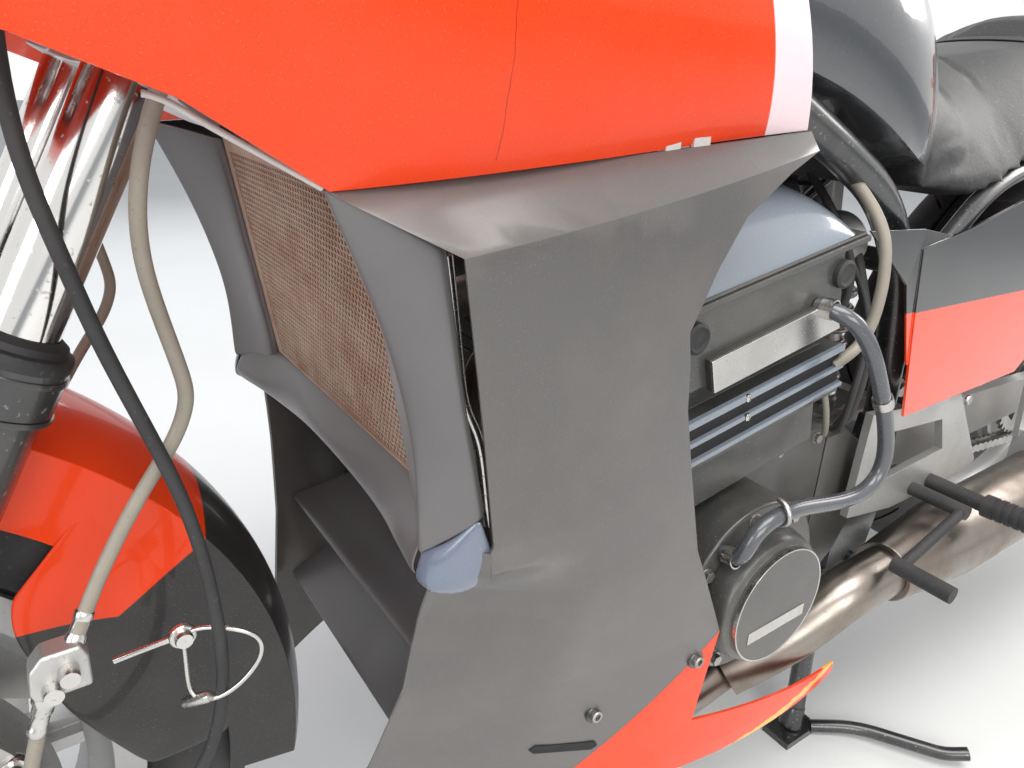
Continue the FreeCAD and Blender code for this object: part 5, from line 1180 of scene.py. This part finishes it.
# %% Speedometer cable and its wire guide
CABLE_PLACES = ((1290, 133.6, 795), (1296, 140, 745), (1285, 142, 690), (1275, 142, 640), (1259, 142, 585),
                (1247, 142, 540), (1241, 142, 490), (1239, 142, 435), (1243, 141, 395), (1256, 139, 345),
                (1300, 130, 300), (1365, 117, 290), (1425, 104, 299), (1463, 104, 299))
GUIDE_PLACES = ((1253, 130, 447), (1246, 134, 450), (1233, 147, 452), (1219, 151, 444), (1217, 152, 430),
                (1228, 150, 414), (1243, 146, 402), (1256, 136, 396), (1261, 130, 404), (1259, 127, 420),
                (1258, 124, 436))
STAY_PLACES = ((1258, 124, 441), (1275, 120, 438), (1296, 112, 430))
CLIP = ((0, 0), (3.4, 0), (3.8, 0.1), (3.8, 0.9), (3.0, 1.0), (0, 1.0))
clip = bmesh.new()
fitting(clip, (1258, 122, 441), (1258, 131, 441), BANJO)
fitting(clip, (1263, 126, 391), (1250, 142, 403), CLIP)
cable_pieces = [tube("speedometer_cable_run", CABLE_PLACES, 4.0, "rubber", "steering"),
                tube("cable_guide", GUIDE_PLACES, 1.5, "bright_plate", "steering"),
                mesh_piece("cable_guide_clip", clip, "bright_plate", "steering"),
                tube("cable_guide_stay", STAY_PLACES, 2.0, "bright_plate", "steering")]
stand_for("speedometer_cable", *cable_pieces)
print("cable pieces:", len(cable_pieces))

# %% Hoses and pipes on the engine's left side
ENGINE_TUBES = (
    # name, radius, finish, places as (station, y, height)
    ("coolant_hose", 7.0, "hose_black",
     ((765, 190.5, 600), (762, 215, 600), (745, 226, 585), (722, 231, 545), (700, 231, 510), (680, 231, 470),
      (677, 231, 440), (700, 231, 424), (745, 230, 428), (800, 229, 442), (840, 229, 439), (853, 227, 420),
      (853, 222, 402), (852, 205, 402))),
    ("breather_pipe", 5.0, "hose",
     ((700, 150, 700), (694, 190, 668), (690, 199, 630), (690, 200, 595), (694, 199, 566), (706, 196, 550),
      (728, 192, 541))),
    ("fuel_line", 4.0, "rubber",
     ((676, 100, 690), (672, 150, 640), (676, 168, 600), (684, 160, 560), (690, 130, 545))),
    ("vent_line", 3.4, "rubber",
     ((662, 120, 640), (652, 166, 600), (648, 176, 540), (660, 176, 480), (650, 168, 450), (640, 152, 442))),
    ("overflow_line", 3.0, "hose",
     ((720, 120, 560), (716, 176, 528), (706, 184, 490), (690, 176, 462), (664, 160, 446))),
    ("wire_loom", 5.0, "rubber",
     ((640, 140, 620), (634, 164, 560), (628, 170, 500), (622, 158, 456), (612, 140, 430))),
)
HOOK_PLACES = ((818, 205, 424), (818, 216, 426), (818, 236, 432), (819, 240, 442), (818, 233, 452),
               (817, 224, 452))
BAND_CLAMP = ((7.4, 0), (8.6, 0), (8.8, 0.5), (8.6, 1.0), (7.4, 1.0), (7.4, 0))
CLAMP_STEPS = 28
CLAMP_PLACES = (((764, 196, 600), (763, 206, 600)), ((852.2, 210, 402), (852.4, 220, 404)),
                ((707, 231, 521), (702, 231, 513)))
engine_tubes = {name: tube(name, places, radius, finish) for name, radius, finish, places in ENGINE_TUBES}
stand_for("engine_hoses", engine_tubes["coolant_hose"])
clamps = bmesh.new()
for start, end in CLAMP_PLACES:
    fitting(clamps, start, end, BAND_CLAMP, CLAMP_STEPS)
mesh_piece("hose_clamps", clamps, "bright_plate")
tube("hose_hook", HOOK_PLACES, 2.2, "steel")
print("engine tubes:", len(engine_tubes), "clamps:", len(CLAMP_PLACES))

# %% [markdown]
# Small things on the fairings tell their story: the pale bare edge inside the lower lip, the screws with
# washers, the drain slot, the strip inside the vent. Edges are thin tubes that follow the lip. Whatever
# lies on the lower panels finds their outer face by a ray from the side, so nothing floats or sinks.

# %% Fairing edges and screws
EDGE_PLACES = ((1250, 200.5, 758), (1243, 201.5, 757), (1232, 203, 749), (1210, 203.6, 736), (1190, 204, 724),
               (1181, 204.4, 718.6))
PANEL_NODES = ("lower_fairing", "belly_accents")
# Where a point lies just past a panel's rim, it takes the panel's own half width there
PANEL_FOOT = 195.5
RAY_START = 400
PANEL_SCREW_PLACES, SCREW_SIZE, SCREW_STANDS_OFF = ((924, 460), (888, 318), (978, 289)), 5.2, 0.8
WASHER, WASHER_STEPS = ((0, -1.5), (8.2, -1.5), (8.2, 0.3), (7.6, 0.9), (0, 0.9)), 28
COVER_SCREW, COVER_SCREW_SIZE = (424, 181.0, 437), 6.0


def outer_face(station, z, side):
    """How far out the lower panels reach at a station and a height, in mm."""
    start = at(station, side * RAY_START, z)
    hits = [dressed[node].ray_cast(start, RIGHT * side) for node in PANEL_NODES]
    return max((abs(place.y) / MM for found, place, _, _ in hits if found), default=PANEL_FOOT)


tube("fairing_edge", EDGE_PLACES, 1.6, "pale_edge", mirrored=True, resolution=3)
bpy.context.view_layer.update()
panel_screws = [(at(station, side * (outer_face(station, z, side) + SCREW_STANDS_OFF), z),
                 Vector((0, side, 0.05)), SCREW_SIZE * MM)
                for station, z in PANEL_SCREW_PLACES for side in (1, -1)]
scatter("fairing_screws", SOCKET, panel_screws, "steel", "root")
washers = bmesh.new()
for place, facing, _ in panel_screws:
    lathe(WASHER, WASHER_STEPS, washers, facing_turn(place, facing))
mesh_piece("screw_washers", washers, "frame_black")
cover_screws = [(at(*mirrored_place(COVER_SCREW, side)), LEFT * side, COVER_SCREW_SIZE * MM)
                for side in (1, -1)]
scatter("cover_screws", PAN, cover_screws, "bright_plate", "root")
print("panel screws:", len(panel_screws))

# %% Drain slots, fairing tabs and vent strip
SLOT_OUTLINE = ((1022, 262), (1026, 257), (1022, 252), (972, 241), (967, 245), (971, 251))
SLOT_SUNK, SLOT_PROUD = -2, 1.2
# Each tab's station, width and height; a tab is a little askew
TABS = ((966, 12, 731.6), (942, 14, 733.0))
TAB_INNER, TAB_OUTER = 206, 208.6
STRIP_PLACES = ((1122, 214, 684), (1118, 215, 650), (1115, 216, 604), (1108, 216, 590), (1100, 216, 572),
                (1097, 216, 541), (1093, 214, 516))
slots, tabs = bmesh.new(), bmesh.new()
for side in (1, -1):
    slab_between(slots, SLOT_OUTLINE, lambda a, b, h: at(a, side * (outer_face(a, b, side) + h), b),
                 SLOT_SUNK, SLOT_PROUD)
    for station, width, height in TABS:
        rear, front = station - width / 2, station + width / 2
        outline = ((rear, height - 1.8), (front, height - 2.8), (front, height + 2.6), (rear, height + 3.2))
        slab_between(tabs, outline, standing_out(side), TAB_INNER, TAB_OUTER)
# The drain slots are near-black slabs: painted shade where the openings are.
mesh_piece("drain_slots", slots, "painted_shade_black")
mesh_piece("fairing_tabs", tabs, "pale_edge")
tube("vent_strip", STRIP_PLACES, 3.2, "bright_plate", mirrored=True)
print("tabs:", 2 * len(TABS))

# %% [markdown]
# A rubber seal closes the top of each fork leg, and two ribs go round the leg below it. All are profiles
# turned round the leg's own axis, which leans back by the rake.

# %% Dust seals and ribs on the fork
WHEELBASE, FRONT_AXLE_HEIGHT, REAR_AXLE_HEIGHT = 1495, 299, 352
HALF_SPREAD, RAKE, LEG_STEPS = 98.5, math.radians(29), 48
FORK_UP = Vector((-math.sin(RAKE), 0, math.cos(RAKE)))
# How far each turned piece stands up the leg from the axle's height
SEAL_REACH, RIB_REACHES = 377, (349, 371)
SEAL = ((19.4, -2), (28.5, -2), (29.4, 0), (29.4, 5), (28.6, 6.5), (25.5, 7.5), (24.6, 11), (21.0, 13.5),
        (19.5, 14), (19.4, -2))
RIB = ((27.0, -1.6), (30.0, -1.6), (30.4, 0), (30.0, 1.6), (27.0, 1.6), (27.0, -1.6))


def round_legs(name, reaches, profile, finish):
    """A profile turned round both legs at each height given."""
    shell = bmesh.new()
    for side in (1, -1):
        for reach in reaches:
            foot = at(WHEELBASE, side * HALF_SPREAD, FRONT_AXLE_HEIGHT) + FORK_UP * reach * MM
            lathe(profile, LEG_STEPS, shell, facing_turn(foot, FORK_UP))
    mesh_piece(name, shell, finish, "steering")


round_legs("fork_seals", (SEAL_REACH,), SEAL, "rubber")
round_legs("slider_ribs", RIB_REACHES, RIB, "frame_black")
print("ribs on each leg:", len(RIB_REACHES))

# %% [markdown]
# A tyre is a smooth profile turned round its axle, and its tread is cut by geometry: in each pitch two
# columns of points drop into the groove, and every column leans with its distance from the middle, so
# that the grooves run in clean slanting lines. A straight groove parts the crown.

# %% Tyres
def smooth_line(points, steps):
    """Points along a Catmull-Rom curve through the given points."""
    line = []
    padded = [points[0]] + list(points) + [points[-1]]
    for a, b, c, d in zip(padded, padded[1:], padded[2:], padded[3:]):
        for i in range(steps):
            t = i / steps
            line.append(tuple(0.5 * (2 * q + (r - p) * t + (2 * p - 5 * q + 4 * r - s) * t * t
                                     + (3 * q - p - 3 * r + s) * t ** 3) for p, q, r, s in zip(a, b, c, d)))
    return line + [points[-1]]


# Half the section: share of the sidewall's height and share of the half width
TYRE_SECTION = ((0.24, 0.88), (0.54, 1.0), (0.8, 0.85), (0.95, 0.45), (1.0, 0.1))
CROWN_ROWS = ((3.6, 0), (2.9, 0), (2.3, 1), (0, 1))
# One pitch of the tread: place in it, and whether the groove's floor is there
PITCH_COLUMNS = ((0.0, 0), (0.015, 1), (0.095, 1), (0.11, 0), (0.34, 0), (0.57, 0), (0.80, 0))
GROOVE_DEPTH, GROOVE_LEAN = 4.2, 1.1
GROOVE_FROM, GROOVE_TO = 0.16, 0.86
BEAD_LIP, SHOULDER_SHARE, SECTION_STEPS = 10, 0.6, 6
TREAD_DEGREES = 40


def tyre(name, node, axle, radius, sidewall, half_width, rim_half, pitches):
    bead = radius - sidewall
    half = [(bead, rim_half - 1.0), (bead + BEAD_LIP, rim_half - 0.5)]
    half += [(bead + sidewall * depth, half_width * width) for depth, width in TYRE_SECTION]
    half = [(r, y, 0) for r, y in smooth_line(half, SECTION_STEPS)]
    half += [(radius, y, down) for y, down in CROWN_ROWS]
    rows = half + [(r, -y, down) for r, y, down in reversed(half[:-1])]
    shell = bmesh.new()
    rings = []
    for r, y, down in rows:
        share = abs(y) / half_width
        grooved = GROOVE_FROM < share < GROOVE_TO and r > bead + SHOULDER_SHARE * sidewall
        ring = []
        for pitch in range(pitches):
            for place, floor_here in PITCH_COLUMNS:
                turn = 2 * math.pi * (pitch + place + GROOVE_LEAN * share) / pitches
                reach = r - GROOVE_DEPTH * (1 if down or (grooved and floor_here) else 0)
                spot = axle + Vector((math.cos(turn) * reach, y, math.sin(turn) * reach)) * MM
                ring.append(shell.verts.new(spot))
        rings.append(ring)
    skin(shell, rings + rings[:1], closed=True)
    made = mesh_piece(name, shell, "tyre", body_of_node[node], TREAD_DEGREES)
    stand_for(node, made)
    return made


FRONT_AXLE, REAR_AXLE = at(WHEELBASE, 0, FRONT_AXLE_HEIGHT), at(0, 0, REAR_AXLE_HEIGHT)
# Radius, height of the sidewall, half the tyre's width, half the rim's width, pitches of the tread
FRONT_TYRE, REAR_TYRE = (299, 96, 59, 33, 30), (332, 103, 65, 39, 30)
front_tread = tyre("front_tyre_treaded", "front_tyre", FRONT_AXLE, *FRONT_TYRE)
rear_tread = tyre("rear_tyre_treaded", "rear_tyre", REAR_AXLE, *REAR_TYRE)
print("tyre faces:", len(front_tread.data.polygons), len(rear_tread.data.polygons))

# %% [markdown]
# The front fender's rear half reaches far down on both sides, between the fork's legs and the tyre. Each
# side is a moulded sheet between an inner and an outer radius round the axle.

# %% Fender sides
# (angle up from straight ahead, inner radius, outer radius)
SKIRT_ROWS = ((133, 226, 306), (137, 203, 308), (146, 191, 310), (156, 181, 312), (163, 183, 312),
              (170, 189, 308), (175, 196, 301), (179, 203, 284), (181.5, 211, 266))
# (share of the way outwards, distance from the middle)
SKIRT_SHARES = ((0.0, 66.4), (0.06, 67.4), (0.5, 67.2), (0.8, 65.4), (1.0, 63.0))
SKIRT_THICK = 2.6
skirt_rows = [[FRONT_AXLE + (way(angle) * (inner + (outer - inner) * share) + LEFT * side) * MM
               for share, side in SKIRT_SHARES] for angle, inner, outer in SKIRT_ROWS]
moulded_panel("fender_skirts", skirt_rows, "fender_paint", "steering", SKIRT_THICK)
print("fender side rows:", len(skirt_rows))

# %% [markdown]
# The seat is foam under vinyl. A slightly smaller copy of its block is remeshed evenly and swelled by a
# short cloth simulation with pressure, its underside held, so that the cover draws tight over the foam.

# %% Seat
SEAT_VOXEL, SEAT_SHRINK, SEAT_CAP = 0.006, 0.006, 0.022
SEAT_PRESSURE, SEAT_FRAMES = 4.0, 20
SEAT_MASS, SEAT_STIFFNESS, SEAT_QUALITY = 0.3, 20, 4
UNDERSIDE_NORMAL = -0.35


def swell(piece, held):
    """Let a closed cover swell by pressure for a few frames, with the held points fixed."""
    before = [v.co.copy() for v in piece.data.vertices]
    piece.vertex_groups.new(name="held").add(held, 1.0, "REPLACE")
    cloth = piece.modifiers.new("cloth", "CLOTH")
    cloth.settings.quality = SEAT_QUALITY
    cloth.settings.mass = SEAT_MASS
    cloth.settings.tension_stiffness = cloth.settings.compression_stiffness = SEAT_STIFFNESS
    cloth.settings.use_pressure = True
    cloth.settings.uniform_pressure_force = SEAT_PRESSURE
    cloth.settings.effector_weights.gravity = 0
    cloth.settings.vertex_group_mass = "held"
    cloth.point_cache.frame_start, cloth.point_cache.frame_end = 1, SEAT_FRAMES
    for number in range(1, SEAT_FRAMES + 1):
        bpy.context.scene.frame_set(number)
    after = piece.evaluated_get(bpy.context.evaluated_depsgraph_get()).to_mesh()
    places = [v.co.copy() for v in after.vertices]
    piece.modifiers.remove(cloth)
    for vertex, start, end in zip(piece.data.vertices, before, places):
        move = end - start
        if move.length > SEAT_CAP:
            move = move.normalized() * SEAT_CAP
        vertex.co = start + move
    bpy.context.scene.frame_set(1)


seat_mesh = merged_mesh("seat")
seat_pad = link(bpy.data.objects.new("seat_padded", seat_mesh))
shell = bmesh.new()
shell.from_mesh(seat_mesh)
for vertex in shell.verts:
    vertex.co -= vertex.normal * SEAT_SHRINK
shell.to_mesh(seat_mesh)
shell.free()
remesh = seat_pad.modifiers.new("even", "REMESH")
remesh.mode, remesh.voxel_size = "VOXEL", SEAT_VOXEL
even = bpy.data.meshes.new_from_object(seat_pad.evaluated_get(bpy.context.evaluated_depsgraph_get()))
seat_pad.modifiers.clear()
seat_pad.data = even
swell(seat_pad, [v.index for v in even.vertices if v.normal.z < UNDERSIDE_NORMAL])
subdivide(seat_pad, 1)
paint_with(seat_pad.data, "seat_vinyl")
smooth(seat_pad.data, SOFT_DEGREES)
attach(seat_pad, "root")
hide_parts("seat")
print("seat points:", len(seat_pad.data.vertices))

# %% [markdown]
# The riders' side has round dials with ticks and a needle, the mirrors have glass, and behind the headlamp's
# lens stands a bright bowl with a bulb. No dial bears a word or a name.

# %% Dials
# Each dial's place to the left, radius and the angle of its needle
DIALS = ((-70, 32, -60), (8, 36, -128), (82, 25, -100))
DIAL_STATION, DIAL_HEIGHT = 1206, 1033
DIAL_AXIS = Vector((-20, 0, 5)).normalized()
DIAL_UP = Vector((5, 0, 20)).normalized()
TICK_ANGLES = range(-132, 133, 12)
# The bezel goes by its distance from the dial's rim, the hub by its radius
BEZEL = ((-3.4, 0.2), (-3.4, 3.6), (-2.2, 4.6), (-0.2, 4.4), (0.9, 3.0), (0.9, -4.0), (0.2, -4.0),
         (-0.4, 0.2), (-3.4, 0.2))
HUB = ((0, 0.3), (3.0, 0.3), (3.0, 2.6), (0, 2.6))
# Where a tick starts, as a share of the radius, and half its width, for long and short ones
LONG_TICK, SHORT_TICK, TICK_END = (0.70, 0.7), (0.77, 0.4), 0.86
# A needle's outline as (share of the radius, across), and the faces of marks and needles off the dial
NEEDLE = ((-0.16, -1.3), (0.72, -0.4), (0.72, 0.4), (-0.16, 1.3))
MARK_FACES, NEEDLE_FACES = (0.2, 0.5), (1.4, 2.2)
GLASS_INSET, GLASS_LOW, GLASS_HIGH = 3, 3.2, 3.9
BEZEL_STEPS, HUB_STEPS, GLASS_STEPS = 56, 24, 48


def dial_slab(shell, side, degrees, corners, low, high):
    """A slab on a dial, its outline given as (out from the middle, across) at an angle from the top."""
    turn = math.radians(degrees)
    face = at(DIAL_STATION, side, DIAL_HEIGHT)
    slab_between(shell, corners, lambda out, across, height: face + (
        DIAL_UP * math.cos(turn) * out - LEFT * math.sin(turn) * out + DIAL_AXIS * height
        + LEFT * math.cos(turn) * across) * MM, low, high)


bezels, marks, needles, glasses = bmesh.new(), bmesh.new(), bmesh.new(), bmesh.new()
for side, radius, reading in DIALS:
    turn = facing_turn(at(DIAL_STATION, side, DIAL_HEIGHT), DIAL_AXIS)
    lathe([(radius + out, high) for out, high in BEZEL], BEZEL_STEPS, bezels, turn)
    for degrees in TICK_ANGLES:
        start, half = LONG_TICK if degrees % 24 == 12 else SHORT_TICK
        tick = rectangle(start * radius, TICK_END * radius, -half, half)
        dial_slab(marks, side, degrees, tick, *MARK_FACES)
    needle = [(share * radius, across) for share, across in NEEDLE]
    dial_slab(needles, side, reading, needle, *NEEDLE_FACES)
    lathe(HUB, HUB_STEPS, needles, turn)
    lathe(rectangle(0, radius - GLASS_INSET, GLASS_LOW, GLASS_HIGH), GLASS_STEPS, glasses, turn)
mesh_piece("dial_bezels", bezels, "chrome")
mesh_piece("dial_marks", marks, "pale_edge")
mesh_piece("dial_needles", needles, "red_paint")
mesh_piece("dial_glasses", glasses, "lamp_glass")
print("dials:", len(DIALS))

# %% Mirror glass
# The glass in the plane across, as (distance from the middle, height), and its faces' stations
MIRROR_OUTLINE = ((262, 1053), (372, 1060), (372, 1112), (262, 1106))
MIRROR_BACK, MIRROR_FRONT = 1234.6, 1236.4
mirror_shell = bmesh.new()
for side in (1, -1):
    slab_between(mirror_shell, MIRROR_OUTLINE, lambda a, b, h: at(h, side * a, b), MIRROR_BACK, MIRROR_FRONT)
mesh_piece("mirror_glass", mirror_shell, "mirror_glass", width=0.5)
print("mirror outline:", MIRROR_OUTLINE)

# %% Headlamp bowl and bulb
# Down the bowl from the bulb to the lens: station, half width and half height
BOWL_ROWS = ((1416, 16, 12), (1420, 34, 19), (1432, 56, 26), (1450, 72, 30), (1474, 82, 32.5), (1494, 88, 34))
BOWL_STEPS, BOWL_POWER, BOWL_WALL = 56, 0.55, 1.2
LAMP_HEIGHT, BULB_STATION = 869, 1414
BULB = ((0, 0), (11, 0), (11, 8), (6.5, 10), (6.5, 30), (5.4, 34), (3, 37), (0, 38))


def squared(value):
    """Draws a cosine or sine out, so that a round ring becomes a rectangle with round corners."""
    return math.copysign(abs(value) ** BOWL_POWER, value)


bowl = bmesh.new()
rings = [[bowl.verts.new(at(station, half_y * squared(c), LAMP_HEIGHT + half_z * squared(s)))
          for c, s in circle(BOWL_STEPS)] for station, half_y, half_z in BOWL_ROWS]
for low, high in zip(rings, rings[1:]):
    for i in range(BOWL_STEPS):
        j = (i + 1) % BOWL_STEPS
        bowl.faces.new((low[i], high[i], high[j], low[j]))
bowl.faces.new(rings[0])
thicken(mesh_piece("headlamp_bowl", bowl, "chrome", degrees=SOFT_DEGREES), BOWL_WALL)
bulb = lathe(BULB, turn=facing_turn(at(BULB_STATION, 0, LAMP_HEIGHT), AHEAD))
mesh_piece("headlamp_bulb", bulb, "bright_plate", degrees=50)
print("headlamp bowl rings:", len(BOWL_ROWS))

# %% [markdown]
# The discs and the sprocket are held by a ring of bolts just outside their bores, and a strap crosses the
# seat in front of the passenger's step. Both are laid on what is there: the bolts on the outer faces, and
# the strap by rays onto the swelled cover.

# %% Disc and sprocket bolts
BOLT_RING, BOLT_SIZE, BOLT_COUNT = 8 * MM, 5.5 * MM, 5
BOLT_RINGS = (("front_discs", FRONT_AXLE, (1, -1)), ("rear_disc", REAR_AXLE, (-1,)),
              ("rear_sprocket", REAR_AXLE, (1,)))


def ring_bolts(node, axle, sides):
    points = [v.co for v in dressed[node].data.vertices]
    bore = min(math.hypot(p.x - axle.x, p.z - axle.z) for p in points)
    places = []
    for side in sides:
        face = max(side * p.y for p in points)
        middle = Vector((axle.x, side * face, axle.z))
        places += [(middle + way(360 * (i + 0.5) / BOLT_COUNT) * (bore + BOLT_RING), LEFT * side, BOLT_SIZE)
                   for i in range(BOLT_COUNT)]
    scatter(node + "_bolts", SOCKET, places, "steel", body_of_node[node])
    return len(places)


print("bolts:", [ring_bolts(*facts) for facts in BOLT_RINGS])

# %% Seat strap
STRAP_STATIONS = (202, 208, 224, 230)
STRAP_SIDES = range(-105, 106, 15)
STRAP_HEIGHTS = (724, 742, 760)
STRAP_RISE, STRAP_THICK = 1.6, 2.0
SIDE_START, TOP_START = 300, 1000


def strap_edge(station, side, heights):
    hits = [seat_pad.ray_cast(at(station, side * SIDE_START, height), RIGHT * side) for height in heights]
    return [place + LEFT * side * STRAP_RISE * MM for found, place, _, _ in hits if found]


def strap_row(station):
    """A row of the strap at one station: up the right side, over the top and down the left side."""
    hits = [seat_pad.ray_cast(at(station, y, TOP_START), -UP) for y in STRAP_SIDES]
    tops = [place + UP * STRAP_RISE * MM for _, place, _, _ in hits]
    return strap_edge(station, -1, STRAP_HEIGHTS) + tops + strap_edge(station, 1, STRAP_HEIGHTS[::-1])


bpy.context.view_layer.update()
strap_rows = [strap_row(station) for station in STRAP_STATIONS]
if len({len(row) for row in strap_rows}) == 1:
    moulded_panel("seat_strap", strap_rows, "rubber", "root", STRAP_THICK, mirrored=False, levels=1)
print("strap points:", [len(row) for row in strap_rows])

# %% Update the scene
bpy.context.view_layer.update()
